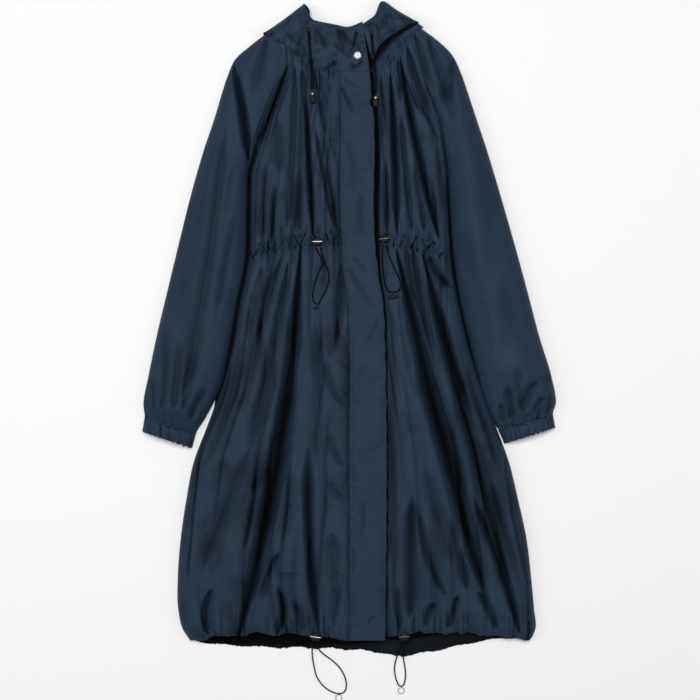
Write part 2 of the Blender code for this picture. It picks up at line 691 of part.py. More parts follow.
def flat_solid(name, outline, thickness, material):
    """A flat closed outline with a thickness, its lower face on the ground."""
    curve = bpy.data.curves.new(name, "CURVE")
    curve.dimensions = "2D"
    curve.fill_mode = "BOTH"
    curve.extrude = thickness / 2
    spline = curve.splines.new("POLY")
    spline.points.add(len(outline) - 1)
    for point, (x, y) in zip(spline.points, outline):
        point.co = (x, y, 0.0, 1.0)
    spline.use_cyclic_u = True
    made = link(bpy.data.objects.new(name, curve), material)
    made.location.z = thickness / 2
    return made


def cord(name, points, count, material):
    """A round tube along a smooth line through its route's own points."""
    curve = bpy.data.curves.new(name, "CURVE")
    curve.dimensions = "3D"
    curve.bevel_depth = CORD / 2
    curve.bevel_resolution = CORD_SIDES
    curve.use_fill_caps = True
    spline = curve.splines.new("POLY")
    line = smooth_line(points, np.linspace(0.0, 1.0, count))
    spline.points.add(count - 1)
    for point, (x, y, z) in zip(spline.points, line):
        point.co = (x, y, z, 1.0)
    return link(bpy.data.objects.new(name, curve), material)


def rounded_block(name, size, bevel, spot, lift, material):
    """A block with rounded edges, turned about the vertical at its spot."""
    mesh = bpy.data.meshes.new(name)
    shape = bmesh.new()
    bmesh.ops.create_cube(shape, size=1.0)
    bmesh.ops.scale(shape, vec=size, verts=shape.verts)
    bmesh.ops.bevel(shape, geom=shape.edges, offset=bevel, segments=2, affect="EDGES", profile=0.5)
    shape.to_mesh(mesh)
    shape.free()
    mesh.shade_smooth()
    made = link(bpy.data.objects.new(name, mesh), material)
    made.location = (spot.x, spot.y, spot.z + lift)
    made.rotation_euler.z = spot.turn
    return made


def turned(name, profile, steps, spot, material):
    """A turned piece: its profile of (radius, height) goes round the vertical."""
    mesh = bpy.data.meshes.new(name)
    shape = bmesh.new()
    verts = [shape.verts.new((radius, 0.0, height)) for radius, height in profile]
    closed = list(zip(verts, verts[1:] + verts[:1]))
    edges = [shape.edges.new(pair) for pair in closed]
    bmesh.ops.spin(
        shape, geom=verts + edges, cent=(0, 0, 0), axis=(0, 0, 1), angle=2 * pi, steps=steps, use_merge=True
    )
    bmesh.ops.remove_doubles(shape, verts=shape.verts, dist=1e-6)
    bmesh.ops.recalc_face_normals(shape, faces=shape.faces)
    shape.to_mesh(mesh)
    shape.free()
    mesh.shade_smooth()
    made = link(bpy.data.objects.new(name, mesh), material)
    made.location = (spot.x, spot.y, spot.z)
    made.rotation_euler.z = spot.turn
    return made


def ball(name, diameter, place, material):
    mesh = bpy.data.meshes.new(name)
    shape = bmesh.new()
    bmesh.ops.create_uvsphere(shape, u_segments=12, v_segments=8, radius=diameter / 2)
    shape.to_mesh(mesh)
    shape.free()
    mesh.shade_smooth()
    made = link(bpy.data.objects.new(name, mesh), material)
    made.location = place
    return made


def ring_profile(outer, wire, sides=6):
    """The round section of a wire ring, as (radius, height) points."""
    turn = np.arange(sides) * 2 * pi / sides
    return [(outer - wire / 2 + wire / 2 * np.cos(a), wire / 2 * np.sin(a)) for a in turn]


def cap_profile(radius, height):
    """Half the section of a low domed cap, from its flat foot to its crown."""
    return [
        (0.0, 0.0),
        (radius, 0.0),
        (radius, height * 0.35),
        (radius * 0.80, height * 0.80),
        (0.0, height),
    ]


# ---- The coat -----------------------------------------------------------------------------------------------


def build_cloth(navy, lining_side):
    fronts = {side: front_pieces(side) for side in (RIGHT, LEFT)}
    for side, pieces in fronts.items():
        for piece, grid in pieces.items():
            cloth_piece(f"front_{side_name(side)}_{piece}", grid, navy)
    centre = np.concatenate([fronts[RIGHT][piece][:, -1] for piece in fronts[RIGHT]])
    flap = storm_flap(centre)
    cloth_piece("storm_flap", flap, navy)
    for name, grid in back_pieces().items():
        cloth_piece(name, grid, lining_side, facing_down=True)
    for side in (RIGHT, LEFT):
        for piece, grid in sleeve_pieces(side).items():
            cloth_piece(f"{piece}_{side_name(side)}", grid, navy, facing_down=side == LEFT)
    for name, grid in hood_pieces(fronts, flap).items():
        cloth_piece(name, grid, navy)
    flat_solid("hood_back_folded", HOOD_PACK_OUTLINE, HOOD_PACK, navy)


def build_trim(black, silver):
    turned("snap_cap", cap_profile(SNAP / 2, SNAP_HEIGHT), 20, SNAP_SPOT, silver)
    for spot in EYELETS:
        turned(f"eyelet_{spot.name}", ring_profile(EYELET / 2, EYELET_WIRE), 14, spot, black)
    for spot in HOOD_LOCKS:
        rounded_block(f"hood_lock_{spot.name}", HOOD_LOCK, LOCK_BEVEL, spot, 0.0, black)
        place = (spot.x, spot.y + BALL_SHIFT, spot.z + HOOD_LOCK[2] / 2 + BALL / 2 + SEAM_GAP)
        ball(f"hood_lock_ball_{spot.name}", BALL, place, silver)
    for spot in WAIST_LOCKS:
        rounded_block(f"waist_lock_{spot.name}", WAIST_LOCK, LOCK_BEVEL, spot, 0.0, black)
        rounded_block(f"waist_lock_bar_{spot.name}", WAIST_BAR, BAR_BEVEL, spot, BAR_LIFT, silver)
    for spot in HEM_LOCKS:
        rounded_block(f"hem_lock_{spot.name}", HEM_LOCK, LOCK_BEVEL, spot, 0.0, black)
        rounded_block(f"hem_lock_bar_{spot.name}", HEM_BAR, BAR_BEVEL, spot, BAR_LIFT, silver)
    for spot in KNOTS:
        rounded_block(f"waist_knot_{spot.name}", KNOT, KNOT_BEVEL, spot, 0.0, black)
    for spot in RINGS:
        turned(f"hem_ring_{spot.name}", ring_profile(RING / 2, RING_WIRE), 24, spot, silver)


def build_cords(black):
    for group, cords in (("hood", HOOD_CORDS), ("waist", WAIST_CORDS), ("hem", HEM_CORDS)):
        for name, points in cords.items():
            cord(name, points, CORD_POINTS[group], black)


clear_scene()
COLLECTION = bpy.data.collections.new("hooded_raincoat")
bpy.context.scene.collection.children.link(COLLECTION)
NAVY = principled("navy taffeta", (0.022, 0.036, 0.056), 0.45)
INSIDE = principled("navy taffeta, inner face", (0.012, 0.018, 0.030), 0.60)
BLACK = principled("black plastic and elastic", (0.012, 0.012, 0.014), 0.40)
SILVER = principled("nickel", (0.62, 0.62, 0.64), 0.28, 1.0)
build_cloth(NAVY, INSIDE)
build_trim(BLACK, SILVER)
build_cords(BLACK)
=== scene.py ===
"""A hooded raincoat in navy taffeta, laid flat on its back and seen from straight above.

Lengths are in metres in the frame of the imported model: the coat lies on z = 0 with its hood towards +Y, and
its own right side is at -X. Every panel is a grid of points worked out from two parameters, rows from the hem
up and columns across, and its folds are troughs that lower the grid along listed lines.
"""

from collections import namedtuple
from math import pi

import bpy
import numpy as np
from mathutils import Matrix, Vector


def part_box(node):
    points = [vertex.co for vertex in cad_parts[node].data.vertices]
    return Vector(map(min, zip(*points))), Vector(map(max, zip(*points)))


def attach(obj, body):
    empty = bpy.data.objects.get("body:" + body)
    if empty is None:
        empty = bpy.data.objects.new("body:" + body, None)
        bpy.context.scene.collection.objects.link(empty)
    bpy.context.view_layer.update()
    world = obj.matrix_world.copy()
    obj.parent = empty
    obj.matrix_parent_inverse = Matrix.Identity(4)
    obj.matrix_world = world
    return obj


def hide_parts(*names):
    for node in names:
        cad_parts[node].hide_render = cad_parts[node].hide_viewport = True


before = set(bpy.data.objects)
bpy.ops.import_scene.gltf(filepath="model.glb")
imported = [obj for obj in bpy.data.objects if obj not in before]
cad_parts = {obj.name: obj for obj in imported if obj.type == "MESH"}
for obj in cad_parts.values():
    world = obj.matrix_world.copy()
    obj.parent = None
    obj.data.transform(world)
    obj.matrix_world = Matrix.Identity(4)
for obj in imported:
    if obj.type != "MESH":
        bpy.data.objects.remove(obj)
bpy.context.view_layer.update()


def named(kind, rows):
    """Rows of numbers under the names that `kind` gives them."""
    return [kind(*row) for row in rows]


# ---- Sizes ----

WALL = 0.0008  # thickness of a shown panel
FLOOR_GAP = 0.0003  # a panel on the ground clears it by this
EDGE = 0.0016  # height of an upper layer's edge where it meets the layer below
LOWEST = 0.0040  # a fold's bottom stays this far above the ground
BOTTOM_ROUND = 0.0012  # and is rounded off over this height
SIDE_ROLL = 0.036  # the front rises from a side seam over this width
SEAM_ROLL = 0.022  # and from the storm flap over this one

HEM_Y = -0.545
HEM_BAND = 0.0274  # height of the hem's drawcord casing
WAIST_LOW = 0.1220  # lower and upper stitching of the waist casing, at the side seam
WAIST_HIGH = 0.1420
WAIST_MIDDLE = 0.5 * (WAIST_LOW + WAIST_HIGH)
UNDERARM = 0.271
UNDERLAP = 0.010  # the left front starts this far beyond the flap's seam, beneath the flap
FLAP_DROP = 0.0032  # and lies this far below the flap
FLAP_CLEAR = 0.0015

CORD = 0.0023  # diameter of the elastic cord
CORD_SIDES = 14
STITCH = (0.0024, 0.00042, 0.00030)  # length, width and height of one stitch
STITCH_PITCH = 0.0033

RIGHT, LEFT = -1, 1
SIDES = {RIGHT: "right", LEFT: "left"}

# ---- Outlines ----

Edge = namedtuple("Edge", "y right left")
SIDE_EDGE = named(Edge, [  # the side seams, hem to underarm
    (-0.545, -0.277, 0.316), (-0.525, -0.29, 0.325), (-0.491, -0.298, 0.323), (-0.438, -0.299, 0.318),
    (-0.369, -0.294, 0.31), (-0.299, -0.284, 0.295), (-0.23, -0.27, 0.278), (-0.177, -0.25, 0.2585),
    (-0.108, -0.2245, 0.2335), (-0.038, -0.208, 0.2118), (0.045, -0.1945, 0.1928), (0.087, -0.1855, 0.185),
    (0.132, -0.178, 0.1795), (0.188, -0.1768, 0.1755), (0.271, -0.1755, 0.172),
])

Seam = namedtuple("Seam", "right_x right_y left_x left_y z")
RAGLAN = named(Seam, [  # the raglan seams, underarm to neck
    (-0.1755, 0.271, 0.172, 0.271, 0.0026), (-0.162, 0.318, 0.165, 0.318, 0.0125),
    (-0.146, 0.367, 0.156, 0.367, 0.0165), (-0.129, 0.409, 0.14, 0.408, 0.0185),
    (-0.109, 0.458, 0.121, 0.462, 0.019), (-0.11, 0.491, 0.108, 0.505, 0.0185),
])

Link = namedtuple("Link", "side_y centre_y bow_right bow_left")
ROW_LINK = named(Link, [  # where a row from side_y ends at the centre, and how far it bows upwards
    (-0.545, -0.545, 0.013, 0.015), (-0.4, -0.4, 0.004, 0.004), (0.132, 0.16, 0.006, 0.006),
    (0.271, 0.29, 0.0, 0.0), (0.491, 0.445, -0.017, -0.023),
])

Line = namedtuple("Line", "y x")
FLAP_SEAM = named(Line, [  # where the storm flap is sewn to the right front
    (-0.545, 0.0), (-0.233, 0.0), (0.049, -0.003), (0.131, -0.011), (0.445, -0.015),
])
FLAP_EDGE = named(Line, [  # the storm flap's free edge
    (-0.545, 0.064), (-0.136, 0.065), (-0.038, 0.063), (0.045, 0.059), (0.087, 0.052), (0.129, 0.047),
    (0.171, 0.044), (0.36, 0.0435), (0.445, 0.036),
])

FLAP_GAP = named(Line, [  # width of the gap beside the flap's free edge, where the left front dips and is painted with shade
    (-0.545, 0.0015), (-0.07, 0.0015), (-0.04, 0.0024), (0.05, 0.003), (0.11, 0.004), (0.14, 0.008),
    (0.165, 0.0092), (0.33, 0.0092), (0.38, 0.0088), (0.415, 0.004), (0.45, 0.004),
])
Loft = namedtuple("Loft", "y panel centre")
LOFT = named(Loft, [  # height of the fronts between folds, and of the storm flap
    (-0.545, 0.019, 0.0155), (-0.515, 0.023, 0.0165), (-0.47, 0.026, 0.0175), (-0.3, 0.0285, 0.019),
    (0.0, 0.0275, 0.019), (0.08, 0.0262, 0.0185), (0.125, 0.0228, 0.018), (0.165, 0.0228, 0.018),
    (0.21, 0.0255, 0.0185), (0.3, 0.0265, 0.02), (0.4, 0.0255, 0.021), (0.445, 0.0235, 0.0215),
    (0.51, 0.0215, 0.021),
])

Station = namedtuple("Station", "outer_x outer_y inner_x inner_y loft")
SLEEVE_STATIONS = {  # sections of each sleeve below the underarm, from the cuff's edge
    RIGHT: named(Station, [
        (-0.361, -0.18, -0.274, -0.209, 0.02), (-0.357, -0.156, -0.267, -0.183, 0.021),
        (-0.359, -0.132, -0.251, -0.157, 0.034), (-0.351, -0.087, -0.2253, -0.106, 0.039),
        (-0.336, -0.014, -0.2093, -0.038, 0.038), (-0.317, 0.066, -0.1959, 0.04, 0.037),
        (-0.296, 0.153, -0.181, 0.115, 0.036), (-0.275, 0.237, -0.1778, 0.205, 0.035),
    ]),
    LEFT: named(Station, [
        (0.36, -0.173, 0.271, -0.201, 0.02), (0.356, -0.15, 0.26, -0.176, 0.021),
        (0.361, -0.13, 0.246, -0.153, 0.034), (0.354, -0.087, 0.2315, -0.108, 0.039),
        (0.332, -0.014, 0.2132, -0.038, 0.038), (0.311, 0.066, 0.1952, 0.04, 0.037),
        (0.288, 0.15, 0.1832, 0.115, 0.036), (0.263, 0.237, 0.1762, 0.205, 0.035),
    ]),
}
Shoulder = namedtuple("Shoulder", "right_x right_y left_x left_y loft")
SHOULDER = named(Shoulder, [  # the fold along the top of the sleeve, underarm level to neck
    (-0.254, 0.31, 0.241, 0.31, 0.034), (-0.231, 0.379, 0.219, 0.376, 0.032),
    (-0.214, 0.435, 0.199, 0.435, 0.03), (-0.196, 0.473, 0.185, 0.47, 0.028),
    (-0.171, 0.494, 0.158, 0.499, 0.026), (-0.148, 0.512, 0.125, 0.524, 0.022),
])

Point = namedtuple("Point", "x y")
HOOD_RIGHT_TOP = named(Point, [  # the hood's right side, from the shoulder over its peak to the throat
    (-0.1478, 0.5145), (-0.1115, 0.541), (-0.082, 0.5638), (-0.0783, 0.5664), (-0.0762, 0.5645),
    (-0.069, 0.553), (-0.0668, 0.541), (-0.0615, 0.536),
])
COLLAR_TOP = named(Point, [
    (-0.0632, 0.5366), (-0.05, 0.533), (-0.024, 0.528), (-0.003, 0.524), (0.0235, 0.533),
])
HOOD_SHOULDER = [[-0.1492, 0.5108, 0.0150], [-0.1260, 0.4965, 0.0225]]  # its lower edge beyond the neck seam
HOOD_FAR_END = [[0.1120, 0.5060, 0.0190], [0.1290, 0.5240, 0.0170]]
LAPEL = named(Point, [  # the turned edge of the hood's left side, from the throat to the shoulder
    (0.0415, 0.459), (0.0455, 0.474), (0.052, 0.488), (0.064, 0.5015), (0.085, 0.515), (0.118, 0.53),
])
LAPEL_TOP = named(Point, [  # the outline above it, point for point
    (0.0228, 0.529), (0.031, 0.5345), (0.043, 0.543), (0.057, 0.571), (0.084, 0.555), (0.1215, 0.5325),
])
BACK_HEM = named(Point, [  # the back's lower edge
    (-0.276, -0.545), (-0.212, -0.553), (-0.125, -0.557), (-0.01, -0.56), (0.059, -0.567), (0.086, -0.5725),
    (0.127, -0.567), (0.202, -0.552), (0.259, -0.542), (0.314, -0.54),
])
HOOD_PACK_OUTLINE = named(Point, [  # the folded back of the hood, beneath the neck
    (-0.098, 0.503), (-0.12, 0.514), (-0.079, 0.553), (-0.07, 0.537), (-0.048, 0.525), (-0.003, 0.516),
    (0.024, 0.522), (0.046, 0.534), (0.06, 0.559), (0.083, 0.546), (0.106, 0.531), (0.094, 0.51),
    (0.096, 0.47), (0.104, 0.43), (0.11, 0.38), (0.084, 0.336), (0.0, 0.322), (-0.084, 0.336),
    (-0.104, 0.38), (-0.098, 0.43), (-0.088, 0.47),
])

# ---- Folds ----

Fold = namedtuple("Fold", "x0 y0 x1 y1 x2 y2 w0 w1 depth fade0 fade1 lean")
# A fold has a start, a middle and an end, a half width at both ends, a depth, the lengths over which it comes
# and goes, and the side that its painted shadow leans to.
RIGHT_FOLDS = named(Fold, [
    (-0.084, 0.15, -0.108, -0.125, -0.193, -0.538, 0.0045, 0.008, 0.023, 0.012, 0.01, 0.45),
    (-0.1, -0.06, -0.121, -0.21, -0.156, -0.4, 0.0075, 0.008, 0.011, 0.08, 0.08, 0.0),
    (-0.115, 0.129, -0.157, -0.01, -0.184, -0.16, 0.0045, 0.008, 0.0062, 0.015, 0.09, 0.3),
    (-0.106, 0.118, -0.139, -0.066, -0.181, -0.235, 0.0035, 0.0075, 0.0075, 0.015, 0.09, -0.1),
    (-0.061, 0.026, -0.056, -0.108, -0.056, -0.24, 0.003, 0.0045, 0.0034, 0.05, 0.07, 0.0),
    (-0.069, -0.19, -0.07, -0.357, -0.0505, -0.54, 0.005, 0.0034, 0.018, 0.11, 0.006, -0.25),
    (-0.172, -0.205, -0.221, -0.334, -0.259, -0.435, 0.0065, 0.007, 0.006, 0.06, 0.06, 0.3),
    (-0.103, -0.235, -0.108, -0.329, -0.116, -0.38, 0.007, 0.008, 0.005, 0.05, 0.04, 0.4),
    (-0.014, 0.118, -0.012, 0.045, -0.04, -0.06, 0.0045, 0.007, 0.0065, 0.015, 0.04, 0.3),
    (-0.039, -0.05, -0.03, -0.104, -0.004, -0.138, 0.005, 0.003, 0.005, 0.03, 0.012, 0.2),
    (-0.235, -0.448, -0.251, -0.49, -0.245, -0.536, 0.003, 0.003, 0.014, 0.022, 0.008, -0.9),
    (-0.12, -0.388, -0.138, -0.425, -0.153, -0.48, 0.003, 0.0045, 0.009, 0.012, 0.03, 0.8),
    (-0.131, -0.424, -0.11, -0.421, -0.083, -0.426, 0.005, 0.005, -0.0045, 0.012, 0.012, 0.0),
    (-0.128, -0.446, -0.114, -0.486, -0.127, -0.534, 0.003, 0.004, 0.011, 0.016, 0.01, 0.5),
    (-0.098, -0.47, -0.086, -0.5, -0.076, -0.53, 0.006, 0.004, 0.006, 0.02, 0.008, -0.4),
    (-0.256, -0.2, -0.2665, -0.285, -0.2836, -0.46, 0.001, 0.0012, 0.007, 0.03, 0.03, 0.0),
    (-0.036, -0.18, -0.026, -0.215, -0.004, -0.245, 0.005, 0.003, 0.004, 0.02, 0.01, 0.1),
    (-0.034, -0.26, -0.024, -0.285, -0.003, -0.3, 0.0045, 0.003, 0.0035, 0.015, 0.01, 0.0),
    (-0.032, -0.35, -0.024, -0.4, -0.03, -0.47, 0.007, 0.008, 0.0055, 0.03, 0.04, 0.2),
    (-0.017, -0.44, -0.02, -0.48, -0.026, -0.52, 0.005, 0.004, 0.005, 0.02, 0.01, 0.4),
    (-0.15, 0.11, -0.168, 0.03, -0.176, -0.03, 0.004, 0.006, 0.004, 0.012, 0.04, -0.4),
    (-0.046, 0.128, -0.044, 0.085, -0.047, 0.04, 0.004, 0.006, 0.0045, 0.01, 0.03, 0.4),
    (-0.188, -0.02, -0.216, -0.13, -0.25, -0.24, 0.008, 0.009, 0.0045, 0.05, 0.06, -0.4),
    (-0.205, -0.3, -0.228, -0.39, -0.24, -0.44, 0.01, 0.009, 0.003, 0.05, 0.04, 0.0),
    (-0.148, -0.19, -0.162, -0.3, -0.19, -0.4, 0.01, 0.01, 0.0045, 0.06, 0.06, 0.4),
    (-0.094, 0.458, -0.097, 0.327, -0.108, 0.17, 0.003, 0.0055, 0.006, 0.015, 0.03, 0.25),
    (-0.082, 0.45, -0.078, 0.405, -0.08, 0.36, 0.003, 0.004, 0.0075, 0.01, 0.03, -0.4),
    (-0.076, 0.42, -0.07, 0.3, -0.062, 0.163, 0.0018, 0.0034, 0.017, 0.06, 0.01, 0.25),
    (-0.125, 0.372, -0.122, 0.318, -0.12, 0.265, 0.006, 0.006, 0.006, 0.03, 0.03, 0.4),
    (-0.148, 0.3, -0.15, 0.223, -0.152, 0.15, 0.0085, 0.006, 0.0048, 0.05, 0.02, 0.2),
    (-0.047, 0.34, -0.035, 0.258, -0.028, 0.18, 0.004, 0.005, 0.004, 0.03, 0.03, 0.1),
    (-0.033, 0.336, -0.024, 0.31, -0.019, 0.285, 0.004, 0.004, 0.003, 0.015, 0.015, 0.0),
    (-0.104, 0.462, -0.133, 0.384, -0.166, 0.304, 0.0035, 0.0055, 0.015, 0.012, 0.02, 0.1),
    (-0.061, 0.356, -0.045, 0.27, -0.027, 0.178, 0.0016, 0.0024, 0.006, 0.03, 0.02, 0.0),
    (-0.038, 0.28, -0.029, 0.22, -0.018, 0.16, 0.0016, 0.0022, 0.005, 0.03, 0.01, 0.0),
    (-0.062, 0.447, -0.052, 0.4, -0.042, 0.33, 0.0014, 0.002, 0.005, 0.01, 0.03, 0.0),
    (-0.083, 0.4, -0.085, 0.29, -0.093, 0.17, 0.0022, 0.004, 0.0045, 0.04, 0.015, 0.3),
    (-0.052, 0.446, -0.048, 0.41, -0.05, 0.36, 0.003, 0.005, 0.0045, 0.01, 0.03, -0.4),
    (-0.128, 0.25, -0.132, 0.2, -0.134, 0.152, 0.004, 0.004, 0.007, 0.03, 0.012, 0.4),
    (-0.085, 0.28, -0.088, 0.22, -0.086, 0.168, 0.004, 0.004, 0.007, 0.04, 0.012, -0.4),
    (-0.044, 0.438, -0.036, 0.42, -0.026, 0.405, 0.003, 0.0035, 0.003, 0.01, 0.015, 0.0),
])
LEFT_FOLDS = named(Fold, [
    (0.082, 0.138, 0.151, -0.151, 0.244, -0.49, 0.005, 0.0088, 0.023, 0.012, 0.09, -0.4),
    (0.116, -0.035, 0.158, -0.174, 0.208, -0.31, 0.0075, 0.008, 0.011, 0.08, 0.08, 0.0),
    (0.211, -0.285, 0.256, -0.395, 0.297, -0.534, 0.005, 0.0036, 0.017, 0.06, 0.01, -0.2),
    (0.11, 0.15, 0.124, 0.049, 0.151, -0.06, 0.0035, 0.0055, 0.01, 0.012, 0.06, 0.4),
    (0.127, 0.134, 0.193, -0.125, 0.28, -0.455, 0.0045, 0.008, 0.015, 0.012, 0.05, -0.2),
    (0.138, 0.13, 0.157, 0.092, 0.186, 0.07, 0.005, 0.006, 0.01, 0.012, 0.02, 0.3),
    (0.11, -0.285, 0.108, -0.404, 0.106, -0.51, 0.006, 0.007, 0.01, 0.04, 0.02, 0.1),
    (0.122, -0.31, 0.137, -0.4, 0.172, -0.468, 0.004, 0.0045, 0.008, 0.03, 0.015, 0.3),
    (0.129, -0.23, 0.153, -0.313, 0.184, -0.43, 0.007, 0.007, 0.005, 0.05, 0.05, 0.2),
    (0.176, -0.325, 0.193, -0.4, 0.207, -0.458, 0.006, 0.005, 0.008, 0.04, 0.015, 0.2),
    (0.19, -0.462, 0.181, -0.491, 0.17, -0.522, 0.004, 0.004, 0.009, 0.012, 0.01, -0.4),
    (0.266, -0.185, 0.2885, -0.345, 0.316, -0.465, 0.0013, 0.0015, 0.012, 0.02, 0.03, -1.2),
    (0.074, 0.04, 0.0755, -0.125, 0.0765, -0.48, 0.008, 0.006, 0.005, 0.04, 0.03, 0.4),
    (0.081, -0.44, 0.083, -0.48, 0.088, -0.53, 0.004, 0.0035, 0.008, 0.03, 0.008, -0.4),
    (0.15, -0.476, 0.14, -0.492, 0.134, -0.52, 0.004, 0.004, 0.008, 0.008, 0.008, 0.3),
    (0.222, -0.455, 0.244, -0.49, 0.258, -0.527, 0.0045, 0.004, 0.008, 0.015, 0.01, 0.2),
    (0.145, 0.06, 0.176, -0.05, 0.212, -0.16, 0.005, 0.006, 0.0075, 0.04, 0.06, -0.1),
    (0.099, 0.142, 0.106, 0.09, 0.122, 0.02, 0.0035, 0.005, 0.0065, 0.01, 0.04, 0.4),
    (0.205, -0.05, 0.232, -0.16, 0.262, -0.25, 0.006, 0.007, 0.005, 0.04, 0.05, -0.4),
    (0.245, -0.26, 0.27, -0.35, 0.3, -0.45, 0.007, 0.007, 0.006, 0.05, 0.05, 0.4),
    (0.071, 0.446, 0.079, 0.32, 0.083, 0.163, 0.0022, 0.004, 0.016, 0.012, 0.01, 0.2),
    (0.063, 0.3, 0.065, 0.231, 0.066, 0.165, 0.0022, 0.003, 0.009, 0.04, 0.012, 0.0),
    (0.088, 0.478, 0.113, 0.336, 0.157, 0.158, 0.0022, 0.0048, 0.019, 0.02, 0.01, -0.2),
    (0.103, 0.432, 0.134, 0.37, 0.16, 0.318, 0.0012, 0.0018, 0.005, 0.01, 0.02, 0.0),
    (0.094, 0.445, 0.108, 0.408, 0.128, 0.372, 0.0014, 0.002, 0.007, 0.01, 0.02, 0.0),
    (0.09, 0.38, 0.098, 0.28, 0.11, 0.165, 0.0022, 0.0036, 0.006, 0.04, 0.012, 0.0),
    (0.085, 0.468, 0.089, 0.432, 0.09, 0.39, 0.003, 0.0035, 0.008, 0.01, 0.025, -0.4),
    (0.1, 0.492, 0.12, 0.425, 0.145, 0.35, 0.0035, 0.0055, 0.008, 0.012, 0.04, 0.1),
    (0.112, 0.3, 0.122, 0.24, 0.132, 0.165, 0.003, 0.004, 0.0065, 0.05, 0.012, 0.1),
    (0.056, 0.44, 0.058, 0.38, 0.056, 0.3, 0.004, 0.005, 0.006, 0.015, 0.06, 0.4),
    (0.152, 0.33, 0.16, 0.27, 0.166, 0.2, 0.003, 0.004, 0.005, 0.04, 0.03, 0.1),
    (0.141, 0.27, 0.148, 0.22, 0.15, 0.165, 0.003, 0.003, 0.005, 0.03, 0.012, -0.4),
])
FOLDS = {RIGHT: RIGHT_FOLDS, LEFT: LEFT_FOLDS}
FLAP_FOLDS = named(Fold, [
    (0.022, -0.295, 0.026, -0.335, 0.019, -0.375, 0.0019, 0.0019, 0.0016, 0.02, 0.02, 0.0),
    (0.004, -0.245, 0.01, -0.25, 0.016, -0.262, 0.0017, 0.0011, 0.0013, 0.004, 0.008, 0.0),
    (0.004, -0.285, 0.009, -0.284, 0.014, -0.29, 0.0017, 0.0011, 0.0013, 0.004, 0.008, 0.0),
    (0.005, -0.38, 0.01, -0.4, 0.006, -0.43, 0.0022, 0.0022, 0.0016, 0.01, 0.01, 0.0),
    (0.052, 0.02, 0.04, -0.01, 0.026, -0.03, 0.0022, 0.0017, 0.0014, 0.012, 0.012, 0.0),
    (-0.008, 0.11, 0.012, 0.085, 0.03, 0.045, 0.0022, 0.0022, 0.0018, 0.012, 0.02, 0.2),
    (0.006, 0.126, 0.02, 0.108, 0.032, 0.095, 0.0019, 0.0017, 0.0015, 0.01, 0.012, 0.0),
    (-0.017, 0.43, -0.005, 0.403, 0.01, 0.366, 0.0011, 0.0016, 0.0042, 0.006, 0.03, 0.3),
    (-0.012, 0.436, 0.004, 0.424, 0.018, 0.418, 0.0017, 0.0017, 0.0014, 0.008, 0.015, 0.0),
    (-0.004, 0.33, 0.006, 0.29, 0.008, 0.23, 0.0033, 0.0033, 0.0014, 0.03, 0.04, 0.0),
    (0.024, 0.24, 0.018, 0.2, 0.026, 0.16, 0.0033, 0.0028, 0.0014, 0.02, 0.012, 0.0),
    (0.05, -0.5, 0.038, -0.508, 0.03, -0.522, 0.0019, 0.0017, 0.0014, 0.008, 0.01, 0.0),
])
RIGHT_SLEEVE_FOLDS = named(Fold, [
    (-0.196, 0.21, -0.212, 0.11, -0.232, 0.01, 0.005, 0.006, 0.004, 0.08, 0.06, -0.4),
    (-0.296, -0.02, -0.299, -0.09, -0.304, -0.143, 0.0075, 0.006, 0.008, 0.06, 0.012, 0.2),
    (-0.318, 0.01, -0.321, -0.073, -0.327, -0.143, 0.0085, 0.006, 0.0065, 0.08, 0.012, -0.35),
    (-0.264, -0.03, -0.275, -0.087, -0.287, -0.146, 0.007, 0.005, 0.0065, 0.05, 0.012, 0.1),
    (-0.34, -0.08, -0.341, -0.11, -0.34, -0.145, 0.005, 0.004, 0.0055, 0.03, 0.01, 0.35),
    (-0.246, -0.1, -0.262, -0.13, -0.276, -0.162, 0.006, 0.0045, 0.007, 0.03, 0.01, 0.2),
    (-0.203, 0.464, -0.187, 0.388, -0.1745, 0.288, 0.0032, 0.0042, 0.026, 0.02, 0.003, 0.0),
    (-0.143, 0.505, -0.155, 0.462, -0.172, 0.4, 0.0045, 0.008, 0.007, 0.008, 0.05, -0.35),
    (-0.116, 0.44, -0.141, 0.375, -0.168, 0.292, 0.0025, 0.0038, 0.02, 0.01, 0.006, 0.1),
    (-0.214, 0.375, -0.239, 0.14, -0.289, -0.125, 0.0055, 0.0085, 0.0075, 0.1, 0.03, 0.5),
    (-0.248, 0.26, -0.276, 0.12, -0.302, 0.0, 0.008, 0.009, 0.0025, 0.08, 0.08, 0.4),
    (-0.196, 0.29, -0.212, 0.22, -0.222, 0.15, 0.005, 0.006, 0.0035, 0.04, 0.04, 0.0),
])
